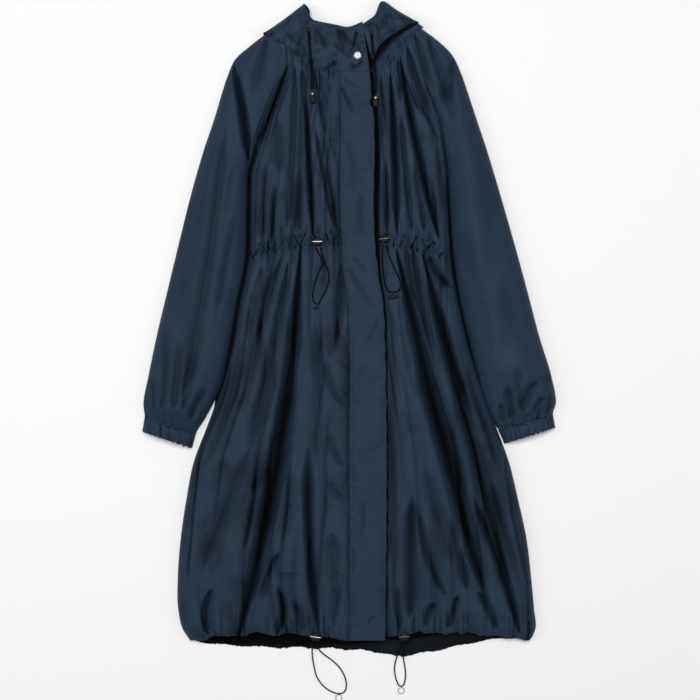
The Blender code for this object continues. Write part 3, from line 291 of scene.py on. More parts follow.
LEFT_SLEEVE_FOLDS = named(Fold, [
    (0.183, 0.472, 0.176, 0.432, 0.16, 0.385, 0.005, 0.007, 0.008, 0.015, 0.04, 0.1),
    (0.302, -0.15, 0.311, -0.116, 0.33, -0.09, 0.005, 0.0055, 0.008, 0.012, 0.015, -0.3),
    (0.33, -0.09, 0.342, -0.088, 0.352, -0.096, 0.0045, 0.004, 0.005, 0.008, 0.008, -0.35),
    (0.322, -0.15, 0.329, -0.132, 0.342, -0.12, 0.004, 0.0035, 0.006, 0.01, 0.01, 0.35),
    (0.341, -0.152, 0.347, -0.135, 0.35, -0.112, 0.0035, 0.0035, 0.005, 0.01, 0.012, -0.35),
    (0.273, -0.095, 0.277, -0.125, 0.282, -0.162, 0.0055, 0.005, 0.009, 0.025, 0.01, 0.1),
    (0.29, -0.06, 0.294, -0.1, 0.297, -0.15, 0.008, 0.006, 0.005, 0.03, 0.012, 0.35),
    (0.262, -0.13, 0.266, -0.15, 0.268, -0.168, 0.0035, 0.0035, 0.006, 0.01, 0.008, -0.35),
    (0.2, 0.18, 0.226, 0.06, 0.25, -0.06, 0.011, 0.011, 0.0026, 0.07, 0.07, 0.35),
    (0.262, 0.1, 0.29, 0.0, 0.322, -0.06, 0.011, 0.01, 0.0024, 0.07, 0.04, -0.35),
    (0.113, 0.512, 0.126, 0.468, 0.15, 0.39, 0.0045, 0.008, 0.0075, 0.008, 0.06, 0.35),
    (0.135, 0.51, 0.16, 0.44, 0.186, 0.35, 0.005, 0.008, 0.0065, 0.01, 0.06, 0.1),
    (0.17, 0.38, 0.19, 0.29, 0.2, 0.19, 0.008, 0.01, 0.0028, 0.06, 0.08, -0.35),
    (0.21, 0.34, 0.232, 0.25, 0.246, 0.15, 0.009, 0.011, 0.002, 0.06, 0.08, 0.0),
])
SLEEVE_FOLDS = {RIGHT: RIGHT_SLEEVE_FOLDS, LEFT: LEFT_SLEEVE_FOLDS}
HOOD_FOLDS = named(Fold, [  # wrinkles of the hood and the collar
    (-0.026, 0.524, -0.01, 0.512, 0.006, 0.489, 0.002, 0.002, 0.0024, 0.008, 0.01, 0.2),
    (-0.03, 0.5, -0.014, 0.485, 0.004, 0.47, 0.0022, 0.002, 0.002, 0.012, 0.008, 0.2),
    (-0.05, 0.449, -0.035, 0.454, -0.02, 0.468, 0.0014, 0.0014, 0.0038, 0.006, 0.01, 0.45),
    (0.004, 0.452, 0.014, 0.456, 0.025, 0.467, 0.0011, 0.0011, 0.003, 0.005, 0.008, -0.45),
    (0.0135, 0.519, 0.011, 0.503, 0.006, 0.484, 0.0017, 0.0012, 0.006, 0.006, 0.008, 0.45),
    (0.017, 0.507, 0.0165, 0.497, 0.012, 0.486, 0.0008, 0.0006, -0.0016, 0.004, 0.004, -0.45),
    (0.014, 0.514, 0.022, 0.508, 0.028, 0.506, 0.0011, 0.0009, 0.0025, 0.006, 0.006, 0.45),
    (-0.09, 0.5, -0.08, 0.487, -0.073, 0.47, 0.0016, 0.0014, 0.0034, 0.01, 0.01, -0.45),
    (-0.052, 0.52, -0.046, 0.5, -0.036, 0.48, 0.0023, 0.0018, 0.0026, 0.01, 0.012, 0.45),
    (-0.11, 0.515, -0.096, 0.498, -0.084, 0.49, 0.0018, 0.0016, 0.0028, 0.01, 0.01, -0.45),
    (0.07, 0.556, 0.066, 0.54, 0.052, 0.515, 0.0023, 0.0023, 0.0022, 0.012, 0.012, 0.45),
    (0.04, 0.535, 0.05, 0.52, 0.048, 0.5, 0.0018, 0.0018, 0.003, 0.01, 0.012, -0.45),
    (-0.129, 0.524, -0.1, 0.524, -0.072, 0.524, 0.0004, 0.0004, 0.0007, 0.006, 0.004, 0.45),
    (0.026, 0.528, 0.035, 0.518, 0.039, 0.5, 0.001, 0.0008, 0.0022, 0.004, 0.006, -0.45),
])

Calm = namedtuple("Calm", "x y reach z")
CALM = named(Calm, [  # where a lock or a cord lies, the cloth under it is smooth and at this height
    (-0.055, 0.15, 0.01, 0.0226), (0.061, 0.155, 0.01, 0.0226), (-0.058, -0.536, 0.01, 0.02),
    (0.096, -0.5355, 0.01, 0.02), (-0.0632, 0.399, 0.012, 0.0248), (0.0462, 0.3925, 0.01, 0.0248),
    (-0.041, 0.064, 0.012, 0.0276), (-0.056, 0.05, 0.012, 0.0276), (-0.048, 0.095, 0.011, 0.0272),
    (0.07, 0.075, 0.014, 0.0276), (0.082, 0.085, 0.012, 0.0276),
])

# ---- Cord routes ----

Way = namedtuple("Way", "x y z")
HOOD_CORDS = {
    "hood_cord_right_inner": named(Way, [
        (-0.0688, 0.515, 0.0272), (-0.0668, 0.492, 0.0272), (-0.065, 0.466, 0.027), (-0.0628, 0.44, 0.0272),
        (-0.0618, 0.4135, 0.028),
    ]),
    "hood_cord_right_outer": named(Way, [
        (-0.0713, 0.515, 0.0272), (-0.07, 0.492, 0.0272), (-0.068, 0.466, 0.027), (-0.066, 0.44, 0.0272),
        (-0.065, 0.4135, 0.028),
    ]),
    "hood_cord_left_inner": named(Way, [
        (0.0377, 0.511, 0.0272), (0.0395, 0.485, 0.0272), (0.0413, 0.458, 0.027), (0.0427, 0.432, 0.0272),
        (0.0442, 0.4065, 0.028),
    ]),
    "hood_cord_left_outer": named(Way, [
        (0.0403, 0.511, 0.0272), (0.0428, 0.485, 0.0272), (0.0452, 0.458, 0.027), (0.0464, 0.432, 0.0272),
        (0.0472, 0.4065, 0.028),
    ]),
}
WAIST_CORDS = {
    "waist_cord_right": named(Way, [
        (-0.0588, 0.1405, 0.025), (-0.0525, 0.129, 0.0258), (-0.044, 0.116, 0.0292), (-0.0378, 0.104, 0.03),
        (-0.0352, 0.092, 0.03), (-0.0362, 0.079, 0.03), (-0.041, 0.064, 0.03), (-0.0478, 0.052, 0.03),
        (-0.0545, 0.0415, 0.03), (-0.061, 0.045, 0.03), (-0.0628, 0.057, 0.03), (-0.061, 0.072, 0.03),
        (-0.056, 0.089, 0.0298), (-0.05, 0.102, 0.028), (-0.0448, 0.113, 0.0258), (-0.046, 0.127, 0.0254),
        (-0.05, 0.1405, 0.025),
    ]),
    "waist_cord_left": named(Way, [
        (0.0645, 0.1455, 0.025), (0.068, 0.13, 0.0258), (0.0745, 0.113, 0.0282), (0.082, 0.097, 0.0298),
        (0.088, 0.084, 0.03), (0.0905, 0.0745, 0.03), (0.0865, 0.066, 0.03), (0.078, 0.062, 0.03),
        (0.069, 0.064, 0.03), (0.0635, 0.072, 0.03), (0.061, 0.085, 0.03), (0.059, 0.102, 0.0292),
        (0.0578, 0.118, 0.0275), (0.058, 0.132, 0.0258), (0.0585, 0.1455, 0.025),
    ]),
}
HEM_CORDS = {
    "hem_cord_right": named(Way, [
        (-0.063, -0.5455, 0.0175), (-0.064, -0.553, 0.011), (-0.0645, -0.562, 0.005),
        (-0.064, -0.573, 0.0016), (-0.0618, -0.587, 0.0014), (-0.056, -0.609, 0.0014),
        (-0.045, -0.6245, 0.0014), (-0.033, -0.633, 0.0014), (-0.021, -0.6375, 0.0014),
        (-0.013, -0.6375, 0.0014), (-0.007, -0.633, 0.0014), (-0.0048, -0.623, 0.0014),
        (-0.0085, -0.606, 0.0014), (-0.017, -0.592, 0.0014), (-0.03, -0.5795, 0.0014),
        (-0.043, -0.57, 0.0024), (-0.051, -0.562, 0.0055), (-0.0545, -0.554, 0.011),
        (-0.056, -0.5455, 0.0175),
    ]),
    "hem_cord_left": named(Way, [
        (0.092, -0.545, 0.0175), (0.0895, -0.553, 0.0115), (0.0865, -0.5625, 0.006),
        (0.0838, -0.572, 0.0034), (0.0812, -0.581, 0.0016), (0.0795, -0.59, 0.0014),
        (0.0802, -0.604, 0.0014), (0.0835, -0.6165, 0.0014), (0.0885, -0.6245, 0.0014),
        (0.0935, -0.6243, 0.0014), (0.0972, -0.6165, 0.0014), (0.0985, -0.603, 0.0014),
        (0.0972, -0.59, 0.0014), (0.0955, -0.58, 0.0017), (0.0945, -0.571, 0.0036),
        (0.0955, -0.562, 0.0062), (0.0975, -0.553, 0.0115), (0.099, -0.545, 0.0175),
    ]),
}

# ---- Camera and light ----

CAMERA_AT = (0.0017, -0.0380, 4.0)
VIEW_WIDTH = 1.218  # what the view takes in at this height
VIEW_HEIGHT = 0.015
SENSOR = 0.036
AMBIENT = 0.16  # strength of the light from all round
FLOOR_HALF = 6.0


def add_camera():
    """A camera that looks straight down with +Y up in the view."""
    data = bpy.data.cameras.new("camera")
    data.sensor_width = SENSOR * 1000
    data.lens = data.sensor_width * (CAMERA_AT[2] - VIEW_HEIGHT) / VIEW_WIDTH
    data.clip_end = 50.0
    made = bpy.data.objects.new("camera", data)
    made.location = CAMERA_AT
    bpy.context.scene.collection.objects.link(made)
    bpy.context.scene.camera = made


def add_softbox(name, at, size, power):
    """A rectangular softbox that faces the middle of the coat."""
    data = bpy.data.lights.new(name, "AREA")
    data.shape = "RECTANGLE"
    data.size, data.size_y = size
    data.energy = power
    made = bpy.data.objects.new(name, data)
    made.location = at
    made.rotation_euler = (-Vector(at)).to_track_quat("-Z", "Y").to_euler()
    bpy.context.scene.collection.objects.link(made)


def add_studio():
    """A wide softbox high above the coat, a weaker one on each side, and a pale floor."""
    add_softbox("softbox above", (-0.3, 0.9, 4.6), (2.6, 2.6), 168.0)
    add_softbox("softbox left", (-2.6, 0.2, 2.4), (1.0, 2.2), 22.0)
    add_softbox("softbox right", (2.6, 0.2, 2.4), (1.0, 2.2), 14.0)
    world = bpy.data.worlds.new("studio")
    world.use_nodes = True
    background = world.node_tree.nodes["Background"].inputs
    background["Color"].default_value = (1.0, 1.0, 1.0, 1.0)
    background["Strength"].default_value = AMBIENT
    bpy.context.scene.world = world
    mesh = bpy.data.meshes.new("floor")
    corners = [(x * FLOOR_HALF, y * FLOOR_HALF, -FLOOR_GAP) for x, y in ((-1, -1), (1, -1), (1, 1), (-1, 1))]
    mesh.from_pydata(corners, [], [(0, 1, 2, 3)])
    floor = bpy.data.objects.new("floor", mesh)
    bpy.context.scene.collection.objects.link(floor)
    paper, shader = new_material("pale paper", (0.93, 0.93, 0.93), 0.9)
    shader.inputs["Specular IOR Level"].default_value = 0.1
    floor.data.materials.append(paper)
    bpy.context.scene.view_settings.view_transform = "Standard"


# ---- Lines and heights ----


def even(count):
    """Numbers from 0 to 1, evenly spaced."""
    return np.linspace(0.0, 1.0, count)


def column(table, name):
    return np.array([getattr(row, name) for row in table])


def cubic(t, span, start, end, start_slope, end_slope):
    """A cubic from start to end over a span, with the given slope at both."""
    leaving = (1 + 2 * t) * (1 - t) ** 2 * start + t * (1 - t) ** 2 * span * start_slope
    return leaving + (t**2 * (3 - 2 * t) * end - t**2 * (1 - t) * span * end_slope)


def run_of(path):
    """The distance along a path at each of its points."""
    return np.concatenate([[0.0], np.cumsum(np.linalg.norm(np.diff(path, axis=0), axis=1))])


def smooth_line(points, shares):
    """Points at the given shares of a line's length: a cubic through its own points, tangent to its
    chords."""
    points = np.asarray(points, float)
    points = points[np.concatenate([[True], np.linalg.norm(np.diff(points, axis=0), axis=1) > 1e-6])]
    along = run_of(points)
    at = np.clip(np.asarray(shares, float), 0.0, 1.0) * along[-1]
    slopes = np.gradient(points, along, axis=0)
    i = np.clip(np.searchsorted(along, at, side="right") - 1, 0, len(points) - 2)
    span = (along[i + 1] - along[i])[:, None]
    t = (at - along[i])[:, None] / span
    return cubic(t, span, points[i], points[i + 1], slopes[i], slopes[i + 1])


def along_y(table, name, y):
    """A column of a table at any height y, on a monotone cubic through its rows."""
    knots, values = column(table, "y"), column(table, name)
    slopes = np.gradient(values, knots)
    i = np.clip(np.searchsorted(knots, y, side="right") - 1, 0, len(knots) - 2)
    span = knots[i + 1] - knots[i]
    t = np.clip((y - knots[i]) / span, 0.0, 1.0)
    return cubic(t, span, values[i], values[i + 1], slopes[i], slopes[i + 1])


def ease(t):
    """0 below 0, 1 above 1, and a smooth step between."""
    t = np.clip(t, 0.0, 1.0)
    return t * t * (3 - 2 * t)


def roll(distance, radius):
    """Share of the full height that a rolled edge reaches at this distance from it: a quarter circle."""
    t = np.clip(distance / radius, 0.0, 1.0)
    return np.sqrt(1.0 - (1.0 - t) ** 2)


def arch(loft, first, first_z, second, second_z, radius):
    """Height between two rolled edges, each given by the distance to it and its own height."""
    down_first = (loft - first_z) * (1.0 - roll(first, radius[0]))
    down_second = (loft - second_z) * (1.0 - roll(second, radius[1]))
    return loft - down_first - down_second


def soft_floor(z, lowest):
    """The larger of z and lowest, with the corner between them rounded off."""
    lift = (z - lowest) / BOTTOM_ROUND
    return lowest + BOTTOM_ROUND * np.logaddexp(0.0, lift)


CUSP = 0.9  # how round a trough's bottom is, in half widths
BANK = 0.13  # height of the swell on both sides of a trough, as a share of its depth
BANK_AT = 2.5
BANK_WIDE = 1.0
DIM = 0.0080  # painted shade: a fold this deep is darkened to about a third of the light


def across_fold(x, y, fold):
    """The line of a fold is a parabola through three points. Returns the distance to it in half widths, and
    how much of the fold is left there towards its ends."""
    reach_x, reach_y = fold.x2 - fold.x0, fold.y2 - fold.y0
    length = np.hypot(reach_x, reach_y)
    reach_x, reach_y = reach_x / length, reach_y / length
    along = ((x - fold.x0) * reach_x + (y - fold.y0) * reach_y) / length
    aside = (y - fold.y0) * reach_x - (x - fold.x0) * reach_y
    middle = ((fold.x1 - fold.x0) * reach_x + (fold.y1 - fold.y0) * reach_y) / length
    bow = (fold.y1 - fold.y0) * reach_x - (fold.x1 - fold.x0) * reach_y
    t = np.clip(along, 0.0, 1.0)
    width = (fold.w0 + (fold.w1 - fold.w0) * t) * (0.20 + 0.80 * ease(np.minimum(t, 1.0 - t) / 0.24))
    s = (aside - bow * t * (1 - t) / (middle * (1 - middle))) / width
    fade = ease(along * length / fold.fade0) * ease((1.0 - along) * length / fold.fade1)
    return s, fade


def lay_folds(x, y, folds, dim=DIM):
    """Depth of all folds at each point, and the shade painted there. A fold falls off as exp(-|s|), rounded
    at the bottom, with a swell beyond, and narrows to its ends. Its painted shadow is a narrow core in a wide
    flat one, and `lean` moves the wide one to one side."""
    depth, light = np.zeros_like(x), np.ones_like(x)
    for fold in folds:
        s, fade = across_fold(x, y, fold)
        core = np.exp(CUSP - np.sqrt(s * s + CUSP**2))
        bank = BANK * np.exp(-(((np.abs(s) - BANK_AT) / BANK_WIDE) ** 2))
        depth += fold.depth * fade * (core - bank)
        # the fold's painted shadow, for the cloth's colour
        if fold.depth > 0:
            strength = 1.0 - np.exp(-fold.depth / dim)
            soft = (s + 3.0 * fold.lean) / 2.3
            shadow = 0.68 * np.exp(-(np.abs(s) ** 3)) + 0.30 * np.exp(-(soft**4))
            light *= 1.0 - strength * np.sqrt(fade) * shadow
    return depth, 1.0 - light


def creased(x, y, folds, dim, strewn, strewn_dim):
    """Depth and painted shade of the main folds together with those of small creases strewn between them."""
    depth, dark = lay_folds(x, y, folds, dim)
    small_depth, small_dark = lay_folds(x, y, strewn, strewn_dim)
    return depth + small_depth, darker(dark, small_dark)


def darker(dark, other):
    """Both darknesses together: what light is left is the product."""
    return 1.0 - (1.0 - dark) * (1.0 - other)


def creases(seed, count, corner, far_corner, lengths, widths, heights, lie, spread):
    """Small creases strewn over a rectangle: their length, half width and depth are drawn between two
    sizes, and they lie about the direction `lie`, in radians from +Y, spread as a bell. Half of them are
    ridges."""
    rng = np.random.default_rng(seed)
    made = []
    for x, y in rng.uniform(corner, far_corner, (count, 2)):
        turn = lie + rng.normal(0.0, spread)
        half = rng.uniform(*lengths) / 2
        dx, dy = -np.sin(turn) * half, np.cos(turn) * half
        bend = rng.normal(0.0, 0.12)
        wide = rng.uniform(*widths)
        depth = rng.uniform(*heights) * rng.choice((-1, 1))
        made.append(
            Fold(x + dx, y + dy, x + dy * bend, y - dx * bend, x - dx, y - dy,
                 wide, wide * 1.2, depth, half * 0.8, half * 0.8, 0.0)
        )
    return made


def swell(x, y, seed, length, stretch, height, terms=12):
    """Broad uneven waves: sines of drawn lengths and directions, added up, `stretch` times as long
    along y."""
    rng = np.random.default_rng(seed)
    total = np.zeros_like(x)
    for _ in range(terms):
        turn = rng.uniform(0.0, 2 * pi)
        size = length * rng.uniform(0.6, 1.6)
        phase = rng.uniform(0.0, 2 * pi)
        total += np.sin(2 * pi * (x * np.cos(turn) + y * np.sin(turn) / stretch) / size + phase)
    return height * total * np.sqrt(2.0 / terms)


def wander(across, seed, length, terms=6):
    """A smooth line of values between about -1 and 1 that changes over the given length."""
    rng = np.random.default_rng(seed)
    total = np.zeros_like(across)
    for _ in range(terms):
        total += np.sin(2 * pi * across / (length * rng.uniform(0.6, 1.9)) + rng.uniform(0.0, 2 * pi))
    return total * np.sqrt(2.0 / terms) * 0.7


def gathers(across, distance, seed, pitch, reach, height):
    """Gathers that leave a stitched line: round crests and sharp valleys, |sin| of a phase that wanders,
    each of its own height and length, dying away as exp(-distance / reach)."""
    phase = pi * across / pitch + 1.5 * wander(across, seed, pitch * 5)
    wave = 2.0 * np.abs(np.sin(phase)) ** 0.8 - 1.2
    own_height = 0.65 + 0.45 * wander(across, seed + 1, pitch * 2.6)
    own_reach = reach * (1.0 + 0.55 * wander(across, seed + 2, pitch * 2.2))
    return height * own_height * wave * np.exp(-np.abs(distance) / np.maximum(own_reach, reach * 0.25))


PLEAT = 0.023  # pitch of the shallow pleats that run the length of a front
FINE = (0.0002, 0.0006)  # depths of the small creases strewn over a panel


def pleats(across, y, seed):
    """Shallow pleats along a panel. Each climbs slowly from one edge and drops at the other, its position
    wandering, and comes and goes along y. Returns the height, 0 to 1, and the painted shade before the drop."""
    phase = across / PLEAT + 0.55 * wander(across, seed, 0.10) + 0.30 * wander(y, seed + 1, 0.32)
    number = np.floor(phase)
    part = phase - number
    strength = ease(0.45 + 0.75 * np.sin(2.4 * number + y * (11.0 + 5.0 * np.sin(1.7 * number + seed))))
    drop = 1.0 - ease((part - 0.90) / 0.10)
    return strength * ease(part / 0.9) * drop, strength * ease((part - 0.35) / 0.45) * drop


def calmed(x, y, z, spots):
    """The cloth under a lock, an eyelet or a cord eases towards that spot's own height."""
    for spot in spots:
        share = np.exp(-(((x - spot.x) ** 2 + (y - spot.y) ** 2) / spot.reach**2) ** 1.5)
        z = z + (spot.z - z) * share
    return z


# ---- Grids of the panels ----

ROWS = {"hem_casing": 16, "skirt": 236, "waist_casing": 16, "upper": 50, "raglan": 68}
FRONT_COLUMNS = 148
FLAP_COLUMNS = 26
WAIST_PUFF = 0.0016  # how far the waist casing bulges between its two rows of stitching
HEM_PUFF = 0.0012
STITCH_SINK = 0.4 * 0.0011
PLEAT_HEIGHT = 0.0024
FRONT_SEED = {RIGHT: 10, LEFT: 40}
Shades = namedtuple("Shades", "pleat seam_wide seam_top")
FRONT_SHADES = {  # painted shade on the pleats, and the width and the top of the painted shadow beside the side seam
    RIGHT: Shades(0.40, 0.0080, 0.325),
    LEFT: Shades(0.27, 0.0032, 0.275),
}
SEAM_SHADE = 0.50  # painted shade in the groove of a seam, and its width
SEAM_WIDE = 0.0013
FLAP_SHADE = 0.05  # painted shade over the whole storm flap, which lies a little lower than the fronts


def raglan_line(side, shares):
    """The raglan seam of one side, underarm to neck, with its height."""
    name = SIDES[side]
    ends = np.stack([column(RAGLAN, f"{name}_x"), column(RAGLAN, f"{name}_y"), column(RAGLAN, "z")], axis=1)
    return smooth_line(ends, shares)


def front_starts(side):
    """Where each row of a front starts, at the side seam and then along the raglan seam, and where panels
    end."""
    heights = [
        np.linspace(HEM_Y, HEM_Y + HEM_BAND, ROWS["hem_casing"] + 1),
        np.linspace(HEM_Y + HEM_BAND, WAIST_LOW, ROWS["skirt"] + 1)[1:],
        np.linspace(WAIST_LOW, WAIST_HIGH, ROWS["waist_casing"] + 1)[1:],
        np.linspace(WAIST_HIGH, UNDERARM, ROWS["upper"] + 1)[1:],
    ]
    y = np.concatenate(heights)
    x = along_y(SIDE_EDGE, SIDES[side], y)
    starts = np.stack([x, y, np.full_like(y, EDGE)], axis=1)
    raglan = raglan_line(side, even(ROWS["raglan"] + 1))[1:]
    return np.concatenate([starts, raglan])


Front = namedtuple("Front", "x y z row_y outward inward side_x end_x centre_z")


def plain_front(side):
    """A front before it is folded, rows from the hem to the neck. A row runs from the side to the centre
    and bows upwards, and its height is an arch between the side and the storm flap."""
    starts = front_starts(side)
    side_x, side_y, side_z = (starts[:, i][:, None] for i in range(3))
    link_y = column(ROW_LINK, "side_y")
    linked = np.where(link_y > UNDERARM, starts[-1, 1], link_y)
    end_y = np.interp(side_y, linked, column(ROW_LINK, "centre_y"))
    bow = np.interp(side_y, linked, column(ROW_LINK, f"bow_{SIDES[side]}"))
    end_x = along_y(FLAP_SEAM, "x", end_y) + (0.0 if side == RIGHT else UNDERLAP)
    centre_z = along_y(LOFT, "centre", end_y)
    under_flap = np.zeros_like(side_x)
    if side == LEFT:
        under_flap = end_x - (along_y(FLAP_EDGE, "x", end_y) + FLAP_CLEAR)
        centre_z = centre_z - FLAP_DROP
    shares = even(FRONT_COLUMNS + 1)[None, :]
    x = side_x + (end_x - side_x) * shares
    y = side_y + (end_y - side_y) * shares + 4 * bow * shares * (1 - shares)
    outward = np.abs(x - side_x)
    inward = np.maximum(0.0, np.abs(end_x - x) - np.abs(under_flap))
    z = arch(along_y(LOFT, "panel", y), outward, side_z, inward, centre_z, (SIDE_ROLL, SEAM_ROLL))
    return Front(x, y, z, np.broadcast_to(side_y, x.shape), outward, inward, side_x, end_x, centre_z)


def front_folds(front, side):
    """Depth and painted shade of a front's folds and of the creases strewn over its skirt and its upper part.
    """
    low, high = min(front.side_x.min(), front.end_x.min()), max(front.side_x.max(), front.end_x.max())
    seed = FRONT_SEED[side]
    strewn = creases(seed, 90, (low, -0.54), (high, 0.10), (0.04, 0.12), (0.0045, 0.0095), FINE,
                     0.22 * side, 0.30)
    strewn += creases(seed + 1, 60, (low, 0.16), (high, 0.46), (0.03, 0.08), (0.003, 0.0065), FINE, 0.0, 0.25)
    return creased(front.x, front.y, FOLDS[side], DIM, strewn, 0.0016)


def waist_gathers(row_y, across, seed):
    """Puckers that run out above and below the waist casing, the casing's bulge between its two sunk stitch
    lines, and the pockets that it is crumpled into."""
    beyond = np.maximum(np.where(row_y > WAIST_MIDDLE, row_y - WAIST_HIGH, WAIST_LOW - row_y), 0.0)
    above = row_y > WAIST_HIGH
    puckers = gathers(across, beyond, seed + 3, 0.0085, 0.016, 0.0019)
    puckers += gathers(across * 1.02, beyond, seed + 5, 0.0170, np.where(above, 0.040, 0.055), 0.0016)
    puckers += gathers(across * 0.97, beyond, seed + 6, 0.0105, np.where(above, 0.110, 0.085), 0.0009)
    bulge = WAIST_PUFF * np.sin(pi * np.clip((row_y - WAIST_LOW) / (WAIST_HIGH - WAIST_LOW), 0.0, 1.0))
    off_middle = row_y - WAIST_MIDDLE
    slant = across + 0.45 * off_middle * np.sign(wander(across, seed + 19, 0.035))
    bent = off_middle - 0.005 * wander(across, seed + 16, 0.016)
    pockets = gathers(slant, bent, seed + 15, 0.0070, 0.0090, 0.0050)
    pockets += gathers(slant * 1.3, off_middle, seed + 27, 0.0058, 0.0060, 0.0020)
    for number, line in enumerate((WAIST_LOW, WAIST_HIGH)):
        bulge -= STITCH_SINK * np.exp(-(((row_y - line) / 0.0016) ** 2))
        pockets += gathers(across, row_y - line, seed + 21 + number, 0.0125, 0.0040, 0.0020)
    return puckers, bulge, pockets


def hem_gathers(row_y, across, seed):
    """Puckers that run up from the hem casing, and the casing's bulge, which rolls under at the hem."""
    above = np.maximum(row_y - (HEM_Y + HEM_BAND), 0.0)
    puckers = gathers(across, above, seed + 7, 0.0105, 0.016, 0.0027)
    puckers += gathers(across * 0.98, above, seed + 9, 0.0330, 0.050, 0.0022)
    bulge = HEM_PUFF * np.sin(pi * np.clip((row_y - HEM_Y) / HEM_BAND, 0.0, 1.0))
    return puckers, bulge - 0.0045 * (1.0 - roll(row_y - HEM_Y, 0.0050))


def front_rows(front, side):
    """Where a front's rows end up: scalloped at the hem, wandering at the waist and drooping there at the
    side."""
    seed = FRONT_SEED[side]
    off_middle = front.row_y - WAIST_MIDDLE
    scallops = 0.0022 * wander(front.x, seed + 13, 0.045) + 0.0007 * wander(front.x, seed + 17, 0.014)
    y = front.y + np.exp(-(front.row_y - HEM_Y) / 0.020) * scallops
    y = y + 0.0019 * np.exp(-np.abs(off_middle) / 0.014) * wander(front.x, seed + 14, 0.013)
    droop = 0.0020 if side == RIGHT else 0.0085 * np.exp(-((front.outward / 0.028) ** 2))
    return y - droop * np.exp(-((off_middle / 0.045) ** 2))


def front_grid(side):
    """A whole front: its plain form less the folds, plus pleats and the gathers at the waist, hem and neck.
    All fade out at its seams. Shade is painted in the gathers, beside the side seam and beside the storm
    flap's free edge."""
    front = plain_front(side)
    seed, look = FRONT_SEED[side], FRONT_SHADES[side]
    x, y, row_y, outward, inward = front.x, front.y, front.row_y, front.outward, front.inward
    depth, dark = front_folds(front, side)
    z = front.z - depth + swell(x, y, seed + 2, 0.050, 2.6, 0.0009)
    across = x - 0.15 * (0.5 * (front.side_x + front.end_x))
    puckers, bulge, pockets = waist_gathers(row_y, across, seed)
    hem_puckers, hem_bulge = hem_gathers(row_y, across, seed)
    below_neck = np.where(row_y > UNDERARM, row_y[-1, 0] - row_y, 0.3)
    puckers += hem_puckers + gathers(across, below_neck, seed + 11, 0.0088, 0.020, 0.0030)
    tucks = 0.0
    if side == RIGHT:
        tucks = gathers(y - 0.6 * inward, inward, seed + 25, 0.0135, 0.012, 0.0016)
        tucks *= 1.0 - np.exp(-inward / 0.002)
    width = np.abs(front.end_x - front.side_x).mean()
    flow, flow_dark = pleats(even(FRONT_COLUMNS + 1)[None, :] * width * 1.35, y, seed + 20)
    z = z + bulge + hem_bulge + pockets + tucks + puckers + PLEAT_HEIGHT * flow
    keep = ease(outward / np.where(row_y > UNDERARM, 0.010, 0.022)) * ease(inward / 0.006)
    z = soft_floor(front.z + (z - front.z) * keep, np.minimum(LOWEST, front.z))
    if side == LEFT:
        beyond = ease((inward - 0.0005) / 0.004)
        low = front.centre_z + 0.004 * beyond + (z - front.centre_z) * beyond
        z = np.where(beyond < 1.0, np.minimum(z, low), z)
    y = front_rows(front, side)
    # painted shade in the gathers, the waist's pockets, the pleats and the tucks
    dark = dark + 0.75 * ease(-puckers / 0.0040) + 0.95 * ease(-pockets / 0.0014)
    dark = dark + look.pleat * flow_dark + 0.5 * ease(-tucks / 0.0016)
    # painted shadow beside the side seam, where a sleeve lies beside the front
    beside = look.seam_wide * ease((y + 0.165) / 0.16) * ease((look.seam_top - y) / 0.02)
    dark = np.maximum(dark, ease(beside / 0.0008) * np.exp(-((outward / np.maximum(beside, 1e-4)) ** 3)))
    if side == LEFT:
        # painted shadow in the gap beside the flap's free edge, where the front also dips
        gap = np.interp(y, column(FLAP_GAP, "y"), column(FLAP_GAP, "x"))
        dark = np.maximum(dark, ease(gap / 0.001) * np.exp(-((inward / np.maximum(gap, 1e-4)) ** 6)))
        z = z - 0.006 * ease(gap / 0.004) * np.exp(-((inward / 0.006) ** 2)) * ease(inward / 0.002)
    return np.stack([x, y, calmed(x, y, z, CALM), np.clip(dark, 0.0, 1.0)], axis=2)


def front_panels(whole):
    """A front cut into its four panels, which share the rows where they meet."""
    names = ("hem_casing", "skirt", "waist_casing", "upper")
    marks = np.cumsum([0] + [ROWS[name] for name in names])
    marks[-1] += ROWS["raglan"]
    return {name: whole[a:b + 1] for name, a, b in zip(names, marks, marks[1:])}


